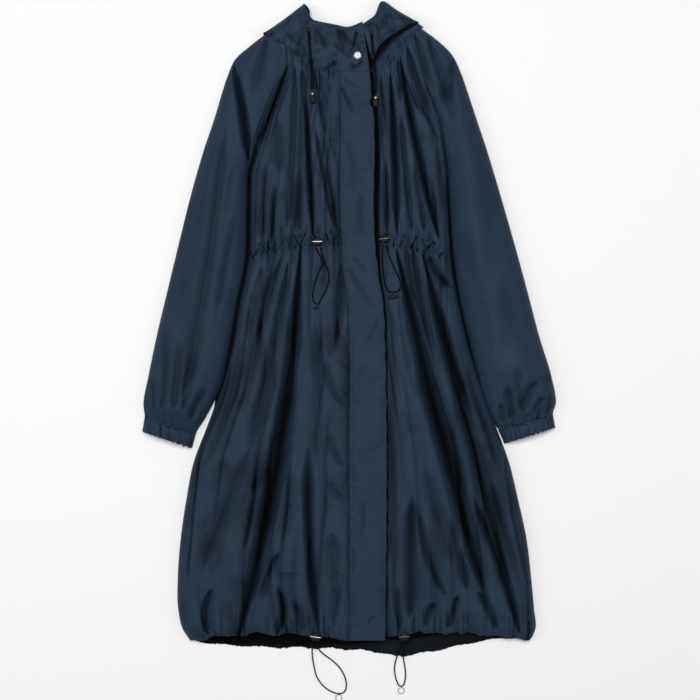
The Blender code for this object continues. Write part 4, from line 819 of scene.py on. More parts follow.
def flap_grid(front_right):
    """The storm flap: each row leaves the right front's last column and runs to the flap's free edge."""
    x0, y0, first_z = (front_right[:, -1, i][:, None] for i in range(3))
    plain_z = along_y(LOFT, "centre", y0)
    edge_x = along_y(FLAP_EDGE, "x", y0)
    x = x0 + (edge_x - x0) * even(FLAP_COLUMNS + 1)[None, :]
    y = np.broadcast_to(y0, x.shape)
    strewn = creases(70, 80, (-0.015, -0.54), (0.065, 0.44), (0.014, 0.045), (0.0020, 0.0045), FINE, 0.3, 0.9)
    depth, dark = creased(x, y, FLAP_FOLDS, DIM / 2, strewn, 0.0025)
    from_seam, to_edge = x - x0, edge_x - x
    tucks = gathers(y + 0.5 * from_seam, from_seam, 72, 0.0150, 0.010, 0.0010)
    z = plain_z - depth + swell(x, y, 71, 0.040, 2.2, 0.0005) + tucks
    z -= 0.0006 * np.exp(-(((from_seam - 0.0015) / 0.0012) ** 2))
    z += 0.0006 * ease(to_edge / 0.0016) - 0.0004 * np.exp(-(((to_edge - 0.0045) / 0.0010) ** 2))
    z -= 0.0010 * (1.0 - roll(to_edge, 0.0016))
    z += 0.0022 * ease((y + 0.02) / 0.05) * ease((0.36 - y) / 0.10) * np.exp(-to_edge / 0.010)
    x = x + 0.0007 * wander(y, 73, 0.05) * ease(from_seam / 0.02)
    z = np.maximum(z, plain_z - 0.0026)
    z = first_z + (z - first_z) * ease(from_seam / 0.0035)
    # painted shade along the seam's groove, in the tucks and over the whole flap
    groove = SEAM_SHADE * (0.75 + 0.25 * wander(y, 74, 0.03)) * np.exp(-((from_seam / SEAM_WIDE) ** 2))
    dark = dark * ease(from_seam / 0.004) + groove + 0.35 * ease(-tucks / 0.0010)
    return np.stack([x, y, z, np.clip(dark + FLAP_SHADE, 0.0, 1.0)], axis=2)


PACK_HEIGHT = 0.0045  # the folded back of the hood, and what the back clears it by
PACK_CLEAR = 0.0008
BACK_COLUMNS = 170
BACK_ROWS = {"hem_casing": 12, "body": 56, "yoke": 21}
BENEATH = 0.005  # the back's edge reaches this far past the side seam where a sleeve covers it
# painted shade over the whole back, which shows only in gaps beneath the fronts and the sleeves
BACK_PAINTED_SHADE = 0.9


def back_hem(shares):
    """The back's hem casing, scalloped and gathered into ribs; the drop of its lower edge, and a fade at
    its ends."""
    low_x, low_y = column(BACK_HEM, "x"), column(BACK_HEM, "y")
    steps = even(BACK_ROWS["hem_casing"] + 1)[:, None]
    hem_x = low_x[0] + (low_x[-1] - low_x[0]) * shares
    hem_line = smooth_line(np.stack([low_x, low_y], axis=1), shares[0])
    hem_low = np.interp(hem_x, hem_line[:, 0], hem_line[:, 1])
    scallops = 0.0014 * wander(hem_x, 91, 0.060) + 0.0007 * wander(hem_x, 92, 0.012)
    y = hem_low + HEM_BAND * steps + np.exp(-6.0 * steps) * scallops
    x = np.broadcast_to(hem_x, y.shape)
    ends = ease(np.minimum(hem_x - low_x[0], low_x[-1] - hem_x) / 0.02)
    ribs = np.abs(gathers(hem_x, 0.0 * hem_x, 93, 0.0060, 1.0, 0.0016))
    z = ends * (ribs * (0.35 + 0.65 * np.sin(pi * steps)) + 0.0010 * np.sin(pi * steps))
    # painted shade: darker towards -X and most up under the front's hem
    dark = 0.38 * ease((0.10 - x) / 0.12) + 0.60 * ease((y + 0.562) / 0.013)
    return np.stack([x, y, z, dark], axis=2), hem_low - HEM_Y, ends


def back_grids():
    """The back, face down on the ground: rows from the hem to the neck, lifted over the folded hood, with
    the inner side's shallow wrinkles above and a scalloped, gathered hem."""
    shares = even(BACK_COLUMNS + 1)[None, :]
    hem, drop, ends = back_hem(shares)
    hem_x = hem[:1, :, 0]
    heights = even(BACK_ROWS["body"] + 1)[:, None]
    side_y = np.interp(heights, (0.0, 1.0), (HEM_Y + HEM_BAND, UNDERARM))
    beneath = BENEATH * ease((side_y + 0.145) / 0.03)
    right_x = along_y(SIDE_EDGE, "right", side_y) - beneath
    left_x = along_y(SIDE_EDGE, "left", side_y) + beneath
    join = ease(heights / 0.12)
    x = (right_x + (left_x - right_x) * shares) * join + hem_x * (1.0 - join)
    y = side_y + (1.0 - join) * drop
    z = 0.0004 + np.abs(swell(x, y, 94, 0.05, 2.0, 0.0004))
    z += np.abs(gathers(hem_x, heights * 0.7, 93, 0.0060, 0.03, 0.0012))
    # the back's body and yoke are painted with shade all over
    body = np.stack([x, y, z * ends, np.full_like(x, BACK_PAINTED_SHADE)], axis=2)
    shares_up = even(BACK_ROWS["yoke"] + 1)[1:]
    right, left = raglan_line(RIGHT, shares_up), raglan_line(LEFT, shares_up)
    right[:, 0] -= BENEATH * ease((0.315 - right[:, 1]) / 0.03)
    left[:, 0] += BENEATH * ease((0.315 - left[:, 1]) / 0.03)
    x = right[:, :1] + (left[:, :1] - right[:, :1]) * shares
    y = right[:, 1:2] + (left[:, 1:2] - right[:, 1:2]) * shares
    inside = np.minimum(x - right[:, :1], left[:, :1] - x)
    pack = ease((y - UNDERARM) / 0.026) * ease(inside / 0.011)
    yoke = np.stack([x, y, (PACK_HEIGHT + PACK_CLEAR) * pack, np.full_like(x, BACK_PAINTED_SHADE)], axis=2)
    return {"back_hem_casing": hem, "back": np.concatenate([body, yoke])}


SLEEVE_ROWS = 204
SLEEVE_TOP = 92
SLEEVE_BELOW = 18
CUFF_ROWS = 26
CUFF_RIBS = 0.0042  # pitch of the elastic cuff's ribs
TUBE_ROLL = 0.48  # share of its width over which a flattened tube's edge rolls
SLEEVE_SEED = {RIGHT: 120, LEFT: 150}
CUFF_SEED = {RIGHT: 180, LEFT: 190}


def sleeve_rails(side, shares):
    """What a sleeve's sections are made from, at shares of its length: outer and inner point, the inner
    edge's height, the loft and the share of the width over which the inner edge rolls."""
    name = SIDES[side]
    rails = [(*station[:4], EDGE, station.loft, TUBE_ROLL) for station in SLEEVE_STATIONS[side]]
    steps = even(8)
    shoulder = np.stack([column(SHOULDER, f"{name}_x"), column(SHOULDER, f"{name}_y")], axis=1)
    outer = smooth_line(shoulder, steps)
    loft = np.interp(steps, even(len(SHOULDER)), column(SHOULDER, "loft"))
    seam = raglan_line(side, steps)
    for (ox, oy), (ix, iy, iz), height, step in zip(outer, seam, loft, steps):
        rails.append((ox, oy, ix, iy, iz, height, 0.30 if step > 0 else 0.40))
    return smooth_line(rails, shares)


Tube = namedtuple("Tube", "x y share top width across")


def flat_tube(outer_x, outer_y, inner_x, inner_y):
    """Sections of a flattened tube. The points of each run along the ground from the inner edge to the
    outer one and back over the top. `top` is 1 up there, and `across` is the distance from the outer edge,
    less than 0 below."""
    below = np.linspace(1.0, 0.0, SLEEVE_BELOW + 1)[:-1]
    above = 0.55 * (1.0 - np.cos(pi * even(SLEEVE_TOP + 1))) / 2.0 + 0.45 * even(SLEEVE_TOP + 1)
    share = np.concatenate([below, above])[None, :]
    top = np.concatenate([np.zeros(SLEEVE_BELOW), np.ones(SLEEVE_TOP + 1)])[None, :]
    x = outer_x + (inner_x - outer_x) * share
    y = outer_y + (inner_y - outer_y) * share
    width = np.hypot(inner_x - outer_x, inner_y - outer_y)
    return Tube(x, y, share, top, width, share * width * (2 * top - 1))


def tube_arch(tube_at, loft, inner_z, inner_roll=TUBE_ROLL):
    """Height of a flattened tube's top: an arch between its outer and its inner edge."""
    width = tube_at.width
    rolls = (TUBE_ROLL * width, inner_roll * width)
    return arch(loft, tube_at.share * width, 0.0, (1.0 - tube_at.share) * width, inner_z, rolls)


def sleeve_grid(side, shares, rows_from_cuff):
    """A sleeve as a flattened tube: folds lower its top, and gathers run up from the cuff all round."""
    *ends, inner_z, loft, inner_roll = (sleeve_rails(side, shares)[:, i][:, None] for i in range(7))
    at = flat_tube(*ends)
    plain_z = tube_arch(at, loft, inner_z, inner_roll)
    seed = SLEEVE_SEED[side]
    low, high = (at.x.min(), -0.15), (at.x.max(), 0.48)
    strewn = creases(seed, 70, low, high, (0.05, 0.13), (0.0055, 0.0115), FINE, 0.25 * side, 0.25)
    depth, dark = creased(at.x, at.y, SLEEVE_FOLDS[side], DIM * 1.6, strewn, 0.0070)
    depth -= swell(at.x, at.y, seed + 1, 0.070, 2.6, 0.0010)
    reach = rows_from_cuff[:, None]
    ruffle = gathers(at.across, reach, seed + 2, 0.0078, 0.016, 0.0022)
    ruffle += gathers(at.across * 1.03, reach, seed + 4, 0.0190, 0.034, 0.0026)
    edge = ease(at.share * at.width / 0.010) * ease((1.0 - at.share) * at.width / 0.010)
    over = soft_floor(plain_z + edge * (ruffle - depth), np.minimum(LOWEST, plain_z))
    z = np.where(at.top > 0, over, FLOOR_GAP + 0.0004 * edge)
    # painted shade in the folds and in the valleys of the gathers from the cuff, on the top only
    dark = np.clip(dark + 0.8 * ease(-ruffle / 0.004), 0.0, 1.0)
    return np.stack([at.x, at.y, z, dark * at.top], axis=2)


def cuff_grid(side, sleeve_first):
    """The elastic cuff: the sleeve's first section carried to the cuff's edge, with ribs along the sleeve."""
    up = even(CUFF_ROWS + 1)[:, None]
    low, high = (np.array(station[:4]) for station in SLEEVE_STATIONS[side][:2])
    at = flat_tube(*(low[i] + (high[i] - low[i]) * up for i in range(4)))
    seed = CUFF_SEED[side]
    across = at.across + 0.003 * wander(up + 0.0 * at.across, seed + 4, 0.8)
    ribs = gathers(across, 0.0 * across, seed, CUFF_RIBS, 1.0, 0.0015)
    middle = np.sin(pi * up)
    edge = ease(np.minimum(at.share, 1 - at.share) * at.width / 0.004)
    z = tube_arch(at, SLEEVE_STATIONS[side][0].loft, EDGE)
    z = z + (ribs * (0.55 + 0.45 * middle) + 0.0009 * middle) * edge
    z = np.where(at.top > 0, np.maximum(z, 0.0010), FLOOR_GAP)
    z = z + (sleeve_first[None, :, 2] - z) * ease((up - 0.80) / 0.20)
    along = (high - low)[:2] / np.linalg.norm((high - low)[:2])
    scallop = 0.0012 * np.exp(-up * 7.0) * wander(at.across, seed + 3, 0.006)
    # painted shade in the valleys between the ribs
    dark = np.clip(0.8 * ease(-ribs / 0.0011) * at.top, 0.0, 1.0)
    return np.stack([at.x + along[0] * scallop, at.y + along[1] * scallop, z, dark], axis=2)


HOOD_LOFT = 0.0245
HOOD_ROWS = 56
HOOD_COLUMNS = {"right": 110, "tab": 120, "left": 90}
UNDER_ROWS = 29
HOLLOW = 0.0065  # how far the cloth beneath the lapel lies below the hood


Rise = namedtuple("Rise", "x y z shares length")


def rise(lower, upper, edge_z, loft=HOOD_LOFT, spread=0.5):
    """Rows from a lower line of points up to an upper outline: the height climbs from the lower line to the
    loft in the first part and rolls down to each outer point's own height over the last."""
    shares = even(HOOD_ROWS + 1)[:, None]
    x, y = (lower[:, i] + (upper[:, i] - lower[:, i]) * shares for i in (0, 1))
    length = np.hypot(upper[:, 0] - lower[:, 0], upper[:, 1] - lower[:, 1])[None, :]
    top = lower[:, 2] + (loft - lower[:, 2]) * ease(shares / spread)
    z = top - (top - edge_z) * (1.0 - roll((1.0 - shares) * length, 0.45 * length))
    return Rise(x, y, z, shares, length)


def hood_finish(rows, z, seed, fade=0.05):
    """Wrinkles of the hood: the listed folds, strewn creases and a slow swell, kept clear of the outline
    and fading in over a share of the rows from the seam."""
    x, y = rows.x, rows.y
    strewn = creases(seed, 70, (x.min(), y.min()), (x.max(), y.max()), (0.015, 0.055), (0.0012, 0.0034),
                     (0.0003, 0.0011), 0.4, 0.9)
    depth, dark = creased(x, y, HOOD_FOLDS, 0.65 * DIM, strewn, 0.0018)
    depth -= swell(x, y, seed + 1, 0.035, 1.5, 0.0007)
    clear = ease((1.0 - rows.shares) * rows.length / 0.010) * ease(rows.shares / fade)
    z = calmed(x, y, z - depth * clear, HOOD_SPOTS)
    # painted shade in the folds and creases, and along the neck seam
    dark = dark * clear + SEAM_SHADE * np.exp(-((rows.shares * rows.length / SEAM_WIDE) ** 2))
    return np.stack([x, y, z, np.clip(dark, 0.0, 1.0)], axis=2)


HOOD_SPOTS = named(Calm, [  # the eyelets, the snap and the cords lie on the cloth here
    (-0.07, 0.5185, 0.009, 0.0243), (0.039, 0.5145, 0.009, 0.0243), (0.0148, 0.4735, 0.01, 0.0241),
    (-0.0665, 0.47, 0.006, 0.0255), (0.041, 0.47, 0.006, 0.0255),
])


def neck_line(fronts, flap):
    """The neck seam, from the right raglan seam along the right front, the flap and the left front."""
    right, left = fronts[RIGHT][-1], fronts[LEFT][-1]
    cut = right[:, 0] < right[-1, 0]
    beyond = left[left[:, 0] > flap[-1, -1, 0] + 0.001][::-1]
    return right[cut, :3], flap[-1, :, :3], beyond[:, :3]


def hood_right_grid(seam):
    """The hood's right side, from the shoulder and the neck seam up to an outline that lies on the ground at
    the shoulder and rises at the throat. Past the peak, where its inner side would show, it is painted with
    shade."""
    at = even(HOOD_COLUMNS["right"])
    lower = smooth_line(np.concatenate([HOOD_SHOULDER, seam[2::3], seam[-1:]]), at)
    rows = rise(lower, smooth_line(HOOD_RIGHT_TOP, at), 0.0012 + 0.0158 * ease((at - 0.66) / 0.20))
    puckers = gathers(rows.x, rows.shares * rows.length, 200, 0.0095, 0.009, 0.0012)
    grid = hood_finish(rows, rows.z + puckers * ease(rows.shares / 0.04), 201)
    # painted shade past the peak
    inner = ease((rows.x + 0.0797 - 0.45 * (0.566 - rows.y)) / 0.0018) * ease((rows.y - 0.536) / 0.006)
    grid[..., 3] = np.maximum(grid[..., 3], inner)
    return grid


def collar_grid(seam):
    """The collar tab, with a raised placket on its left and a groove beside it."""
    at = even(HOOD_COLUMNS["tab"])
    rows = rise(smooth_line(seam[::2], at), smooth_line(COLLAR_TOP, at), 0.0185, 0.0240, 0.35)
    x, shares = rows.x, rows.shares
    puckers = gathers(x, shares * rows.length, 210, 0.0120, 0.006, 0.0006) * ease(shares / 0.04)
    placket = 0.0010 * ease((x - 0.0125) / 0.0015) * ease((shares - 0.62) / 0.08)
    groove = 0.0008 * np.exp(-(((x - 0.0190 - 0.010 * shares) / 0.0012) ** 2)) * ease(shares / 0.2)
    return hood_finish(rows, rows.z + puckers + placket - groove, 211)


def hood_left_grids(seam):
    """The hood's left side: the dip from the neck seam to beneath the lapel, painted with the lapel's shadow,
    and the lapel from its turned edge up to the outline, with the drawcord casing along it."""
    at = even(HOOD_COLUMNS["left"])
    lower = smooth_line(np.concatenate([seam[:-1:4], seam[-1:], HOOD_FAR_END]), at)
    lapel = smooth_line(LAPEL, at)
    shares = np.linspace(0.0, 1.22, UNDER_ROWS + 1)[:, None]
    x, y = (lower[:, i] + (lapel[:, i] - lower[:, i]) * shares for i in (0, 1))
    tucks = gathers(x, shares * 0.03, 220, 0.0080, 0.020, 0.0020) * ease(shares / 0.05)
    z = lower[:, 2] - HOLLOW * np.sin(pi * at) ** 0.5 * ease(shares / 0.55) + tucks
    # painted shadow of the lapel, darkest beneath it, and painted shade in the tucks
    dark = 0.95 * ease((shares - 0.22 - 0.40 * at) / 0.40) + 0.6 * ease(-tucks / 0.0022)
    under = np.stack([x, y, np.maximum(z, 0.0065), np.clip(dark, 0.0, 1.0)], axis=2)

    lapel_z = np.interp(at, (0.0, 0.15, 0.85, 1.0), (0.0225, 0.0245, 0.0215, 0.0135))
    edge_z = 0.0170 - 0.0158 * ease((at - 0.20) / 0.22)
    rows = rise(np.column_stack([lapel, lapel_z]), smooth_line(LAPEL_TOP, at), edge_z, 0.0262, 0.25)
    casing = ease((np.abs(rows.x - (0.0275 + 0.0125 * (1 - rows.shares))) - 0.0050) / 0.004)
    sunk = np.exp(-rows.shares * rows.length / 0.0016) + (1.0 - casing) * ease(rows.shares / 0.1)
    return under, hood_finish(rows, rows.z - 0.0012 * sunk, 221, 0.06)


def hood_grids(fronts, flap):
    """Every grid of the hood and the collar tab."""
    right, tab, left = neck_line(fronts, flap)
    cut = int(len(right) * 0.445)
    under, lapel = hood_left_grids(left)
    return {
        "hood_right": hood_right_grid(right[:cut + 1]),
        "collar_tab": collar_grid(np.concatenate([right[cut:], tab[1:]])),
        "hood_left_under": under,
        "hood_left": lapel,
    }


# ---- Making meshes ----


def circle(sides):
    """Angles all round, one for each side."""
    return np.arange(sides) * 2 * pi / sides


def grid_faces(rows, columns, around=False):
    """Quads between neighbouring rows and columns; `around` closes the columns to a tube."""
    last = columns if around else columns - 1
    i = np.arange(last)
    corner = (np.arange(rows - 1)[:, None] * columns + i).ravel()
    right = (np.arange(rows - 1)[:, None] * columns + (i + 1) % columns).ravel()
    return np.stack([corner, right, right + columns, corner + columns], axis=1)


def fill_mesh(mesh, points, faces, uv=None):
    """Puts whole arrays of points and faces into a mesh. `faces` is a list of arrays, one for each face
    size, and `uv` holds a texture coordinate for each point."""
    sizes = np.concatenate([np.full(len(group), group.shape[1]) for group in faces])
    corners = np.concatenate([group.ravel() for group in faces])
    mesh.vertices.add(len(points))
    mesh.vertices.foreach_set("co", np.ascontiguousarray(points, np.float32).ravel())
    mesh.loops.add(len(corners))
    mesh.loops.foreach_set("vertex_index", np.ascontiguousarray(corners, np.int32))
    mesh.polygons.add(len(sizes))
    mesh.polygons.foreach_set("loop_start", np.concatenate([[0], np.cumsum(sizes)[:-1]]).astype(np.int32))
    if uv is not None:
        layer = mesh.uv_layers.new(name="cloth")
        layer.data.foreach_set("uv", np.ascontiguousarray(uv[corners], np.float32).ravel())
    mesh.update(calc_edges=True)
    mesh.validate()
    mesh.shade_smooth()


def new_piece(name, mesh, materials):
    made = bpy.data.objects.new(name, mesh)
    bpy.context.scene.collection.objects.link(made)
    for material in materials:
        made.data.materials.append(material)
    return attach(made, "root")


def cloth_uv(grid):
    """Texture coordinates in metres of cloth: the mean run of the rows across, and of the columns up."""
    runs = [np.linalg.norm(np.diff(grid, axis=way), axis=2).mean(axis=1 - way) for way in (1, 0)]
    u, v = np.meshgrid(*(np.concatenate([[0.0], np.cumsum(run)]) for run in runs))
    return np.stack([u.ravel(), v.ravel()], axis=1)


def sharpen_outline(mesh, rows, columns):
    """The edges along the outline of a grid's mesh are sharp, so the cloth's surface is shaded flat up to
    its cut edge: those edges have both ends in the same outer row or column."""
    ends = np.empty(2 * len(mesh.edges), np.int32)
    mesh.edges.foreach_get("vertices", ends)
    row, column_at = np.divmod(ends.reshape(-1, 2), columns)
    in_row = (row[:, 0] == row[:, 1]) & np.isin(row[:, 0], (0, rows - 1))
    in_column = (column_at[:, 0] == column_at[:, 1]) & np.isin(column_at[:, 0], (0, columns - 1))
    mesh.attributes.new("sharp_edge", "BOOLEAN", "EDGE").data.foreach_set("value", in_row | in_column)


def cloth_piece(node_name, grid, materials, turned=False):
    """A panel on a grid of points, with its wall on the inner side. The fourth value at each point is painted
    shade, how far the cloth's colour there is darkened, and goes into a point attribute. `turned` swaps the
    faces, where the columns run towards -X or the outer face is down."""
    name = f"{node_name}_cloth"
    quads = grid_faces(*grid.shape[:2])
    faces = quads[:, ::-1] if turned else quads
    mesh = bpy.data.meshes.new(name)
    fill_mesh(mesh, grid[:, :, :3].reshape(-1, 3), [faces], cloth_uv(grid[:, :, :3]))
    sharpen_outline(mesh, *grid.shape[:2])
    # painted shade, kept as a point attribute for the cloth's material
    painted_shade = mesh.attributes.new("painted_shade", "FLOAT", "POINT")
    painted_shade.data.foreach_set("value", np.ascontiguousarray(grid[:, :, 3], np.float32).ravel())
    made = new_piece(name, mesh, materials)
    wall = made.modifiers.new("wall", "SOLIDIFY")
    wall.thickness = WALL
    wall.offset = -1.0
    wall.material_offset = 1
    wall.material_offset_rim = 0
    return made


def normals_of(grid):
    """Unit normals of a grid, from the cross product of its slopes."""
    across, up = np.gradient(grid, axis=1), np.gradient(grid, axis=0)
    normal = np.cross(across, up)
    return normal / np.maximum(np.linalg.norm(normal, axis=2, keepdims=True), 1e-12)


def on_grid(values, row, column_at):
    """A grid's values at fractional rows and columns, bilinear between its points."""
    i = np.clip(np.floor(row).astype(int), 0, values.shape[0] - 2)
    j = np.clip(np.floor(column_at).astype(int), 0, values.shape[1] - 2)
    a, b = (row - i)[:, None], (column_at - j)[:, None]
    low = values[i, j] * (1 - b) + values[i, j + 1] * b
    high = values[i + 1, j] * (1 - b) + values[i + 1, j + 1] * b
    return low * (1 - a) + high * a


def stitch_run(grid, rows, columns):
    """One row of stitches along a path over a grid: their centres, a pitch apart, and the path's direction
    and the cloth's normal there. `rows` and `columns` are the path's at its start and end."""
    grid = grid[:, :, :3]
    row, across = np.linspace(*rows, 900), np.linspace(*columns, 900)
    path = on_grid(grid, row, across)
    normal = on_grid(normals_of(grid), row, across)
    along = run_of(path)
    at = np.arange(STITCH_PITCH / 2, along[-1], STITCH_PITCH)

    def read(values, shift=0.0):
        return np.stack([np.interp(at + shift, along, values[:, k]) for k in range(3)], axis=1)

    forward = read(path, 0.0006) - read(path, -0.0006)
    forward /= np.maximum(np.linalg.norm(forward, axis=1, keepdims=True), 1e-9)
    return read(path), forward, read(normal)


def stitching(name, runs, thread):
    """All the stitches of a panel group as one mesh: each is a spindle of four square sections."""
    centre, forward, up = (np.concatenate(values) for values in zip(*runs))
    aside = np.cross(forward, up)
    length, width, height = STITCH
    points = []
    for share, size in ((-0.5, 0.35), (-0.3, 1.0), (0.3, 1.0), (0.5, 0.35)):
        for a, b in ((1, 0), (0, 1), (-1, 0), (0, -1)):
            shift = forward * share * length + aside * a * size * width / 2
            points.append(centre + shift + up * (b * size * height / 2 + height * 0.25))
    block = np.stack(points, axis=1)
    quads = np.concatenate([grid_faces(4, 4, around=True), [[3, 2, 1, 0], [12, 13, 14, 15]]])
    quads = quads[None, :, ::-1] + np.arange(len(centre))[:, None, None] * 16
    mesh = bpy.data.meshes.new(name)
    fill_mesh(mesh, block.reshape(-1, 3), [quads.reshape(-1, 4)])
    return new_piece(name, mesh, [thread])


def tube_frame(path):
    """Directions along and across a path: the tangent, and two normals carried along without twist."""
    tangent = np.gradient(path, axis=0)
    tangent /= np.linalg.norm(tangent, axis=1, keepdims=True)
    first = np.cross(tangent[0], (0.0, 0.0, 1.0))
    normals = [first / np.linalg.norm(first)]
    for direction in tangent[1:]:
        carried = normals[-1] - direction * (normals[-1] @ direction)
        normals.append(carried / np.linalg.norm(carried))
    one = np.array(normals)
    return one, np.cross(tangent, one)


def closed_rings(name, rings, material, uv=None):
    """A closed skin over a stack of rings, each counterclockwise seen from the stack's far end, with a fan
    of triangles to a pole inside both end rings."""
    rows, sides = rings.shape[:2]
    k = np.arange(sides)
    after = (k + 1) % sides
    first, last = np.full(sides, rows * sides), np.full(sides, rows * sides + 1)
    far = (rows - 1) * sides
    fans = np.concatenate([np.column_stack([first, after, k]), np.column_stack([last, far + k, far + after])])
    points = np.concatenate([rings.reshape(-1, 3), rings[[0, -1]].mean(axis=1)])
    if uv is not None:
        uv = np.concatenate([uv.reshape(-1, 2), uv[[0, -1], 0]])
    mesh = bpy.data.meshes.new(name)
    fill_mesh(mesh, points, [grid_faces(rows, sides, around=True), fans], uv)
    return new_piece(name, mesh, [material])


def tube(name, path, radius, sides, material):
    """A closed tube: a circle of `sides` points carried along the path, rounded off over a radius at both
    ends. Texture coordinates are metres round it and along it."""
    one, other = tube_frame(path)
    along = run_of(path)
    turn = circle(sides)
    size = radius * np.maximum(roll(np.minimum(along, along[-1] - along) + 0.15 * radius, radius), 0.3)
    round_it = np.cos(turn)[None, :, None] * one[:, None] + np.sin(turn)[None, :, None] * other[:, None]
    uv = np.stack(np.meshgrid(turn * radius, along), axis=2)
    return closed_rings(name, path[:, None] + round_it * size[:, None, None], material, uv)


def add_cords(elastic):
    """Every elastic cord as a round tube on its own route; returns each piece with its path."""
    made = {}
    for routes, count in ((HOOD_CORDS, 90), (WAIST_CORDS, 150), (HEM_CORDS, 190)):
        for name, route in routes.items():
            path = smooth_line(route, even(count))
            piece = tube(name, path, CORD / 2, CORD_SIDES, elastic)
            piece.name = f"{name}_braid"
            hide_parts(name)
            made[name] = (piece, path)
    return made


# ---- Materials ----


def node(tree, kind, inputs=None, **settings):
    """A shader node. `inputs` gives its sockets, by name or number, a value or another node's output."""
    made = tree.nodes.new(kind)
    for name, value in settings.items():
        setattr(made, name, value)
    for name, value in (inputs or {}).items():
        if isinstance(value, bpy.types.NodeSocket):
            tree.links.new(value, made.inputs[name])
        else:
            made.inputs[name].default_value = value
    return made


def math(tree, operation, *values):
    return node(tree, "ShaderNodeMath", dict(enumerate(values)), operation=operation).outputs[0]


def new_group(name, inputs, outputs):
    """An empty node group with sockets of the given types; returns it with its input and output nodes."""
    tree = bpy.data.node_groups.new(name, "ShaderNodeTree")
    for socket, kind in inputs.items():
        tree.interface.new_socket(socket, in_out="INPUT", socket_type=f"NodeSocket{kind}")
    for socket, kind in outputs.items():
        tree.interface.new_socket(socket, in_out="OUTPUT", socket_type=f"NodeSocket{kind}")
    return tree, node(tree, "NodeGroupInput").outputs, node(tree, "NodeGroupOutput").inputs


def noise(tree, vector, scale, **more):
    sockets = {"Vector": vector, "Scale": scale, **more}
    return node(tree, "ShaderNodeTexNoise", sockets).outputs["Fac"]


def waves(tree, values, period, pitch):
    """0 to 1 by the product of one sine for each value."""
    turns = [math(tree, "DIVIDE", math(tree, "MULTIPLY", value, period), pitch) for value in values]
    sines = [math(tree, "SINE", turn) for turn in turns]
    return math(tree, "MULTIPLY_ADD", math(tree, "MULTIPLY", *sines), 0.5, 0.5)


def weave_group():
    """Plain weave: the product of one sine across the threads and one along them, over and under in turn."""
    sockets = {"Thread UV": "Vector", "Pitch": "Float"}
    tree, given, out = new_group("plain weave", sockets, {"Height": "Float"})
    parts = node(tree, "ShaderNodeSeparateXYZ", {0: given["Thread UV"]}).outputs
    tree.links.new(waves(tree, parts[:2], pi, given["Pitch"]), out["Height"])
    return tree


def crinkle_group():
    """Light crinkles of taffeta: ridges along the zero lines of two noises, one of them finer, and a soft
    one."""
    tree, given, out = new_group("crinkle", {"Vector": "Vector", "Scale": "Float"}, {"Height": "Float"})
    at, total = given["Vector"], 0.0
    for times, share, distortion in ((1.0, 0.55, 0.9), (2.7, 0.30, 0.6)):
        scale = math(tree, "MULTIPLY", given["Scale"], times)
        field = noise(tree, at, scale, Detail=2.0, Roughness=0.5, Distortion=distortion)
        ridge = math(tree, "ABSOLUTE", math(tree, "SUBTRACT", field, 0.5))
        total = math(tree, "MULTIPLY_ADD", ridge, share * 2.0, total)
    soft = noise(tree, at, given["Scale"], Detail=1.0)
    tree.links.new(math(tree, "MULTIPLY_ADD", soft, 0.6, total), out["Height"])
    return tree


def dye_group():
    """Uneven dye: broad patches and fine flecks move a colour towards a lighter one."""
    sockets = {"Vector": "Vector", "Deep": "Color", "Pale": "Color"}
    sockets.update({"Patch Scale": "Float", "Fleck Scale": "Float"})
    tree, given, out = new_group("uneven dye", sockets, {"Color": "Color"})
    patch = noise(tree, given["Vector"], given["Patch Scale"], Detail=3.0)
    fleck = noise(tree, given["Vector"], given["Fleck Scale"], Detail=2.0)
    mixed = math(tree, "MULTIPLY_ADD", fleck, 0.55, math(tree, "MULTIPLY", patch, 0.45))
    spread = node(tree, "ShaderNodeMapRange", {"Value": mixed, "From Min": 0.32, "From Max": 0.68}).outputs[0]
    tree.links.new(blend(tree, spread, given["Deep"], given["Pale"]), out["Color"])
    return tree


def blend(tree, share, one, other):
    """A colour between two others."""
    return node(tree, "ShaderNodeMix", {"Factor": share, 6: one, 7: other}, data_type="RGBA").outputs[2]


def wear_group():
    """Handling wear: scuffs change a finish's roughness between two values and press fine dents into it."""
    sockets = {"Vector": "Vector", "Smooth": "Float", "Scuffed": "Float", "Scale": "Float"}
    tree, given, out = new_group("handling wear", sockets, {"Roughness": "Float", "Height": "Float"})
    scuff = noise(tree, given["Vector"], given["Scale"], Detail=6.0, Roughness=0.65, Distortion=0.4)
    spread = node(tree, "ShaderNodeMapRange", {"Value": scuff, "From Min": 0.35, "From Max": 0.65,
                                               "To Min": given["Smooth"], "To Max": given["Scuffed"]})
    tree.links.new(spread.outputs[0], out["Roughness"])
    tree.links.new(scuff, out["Height"])
    return tree


def braid_group():
    """A braided cover: two families of slanting strands, whose product rises and falls along and round a
    cord."""
    tree, given, out = new_group("braid", {"Cord UV": "Vector", "Pitch": "Float"}, {"Height": "Float"})
    parts = node(tree, "ShaderNodeSeparateXYZ", {0: given["Cord UV"]}).outputs
    turned = [math(tree, kind, parts[0], parts[1]) for kind in ("ADD", "SUBTRACT")]
    tree.links.new(waves(tree, turned, 2 * pi, given["Pitch"]), out["Height"])
    return tree


def new_material(name, colour, roughness, metallic=0.0):
    made = bpy.data.materials.new(name)
    made.use_nodes = True
    shader = made.node_tree.nodes["Principled BSDF"]
    for socket, value in (("Base Color", (*colour, 1.0)), ("Roughness", roughness), ("Metallic", metallic)):
        shader.inputs[socket].default_value = value
    return made, shader


def placed(tree, group, inputs):
    """A node group placed in a material; returns its outputs."""
    return node(tree, "ShaderNodeGroup", inputs, node_tree=group).outputs


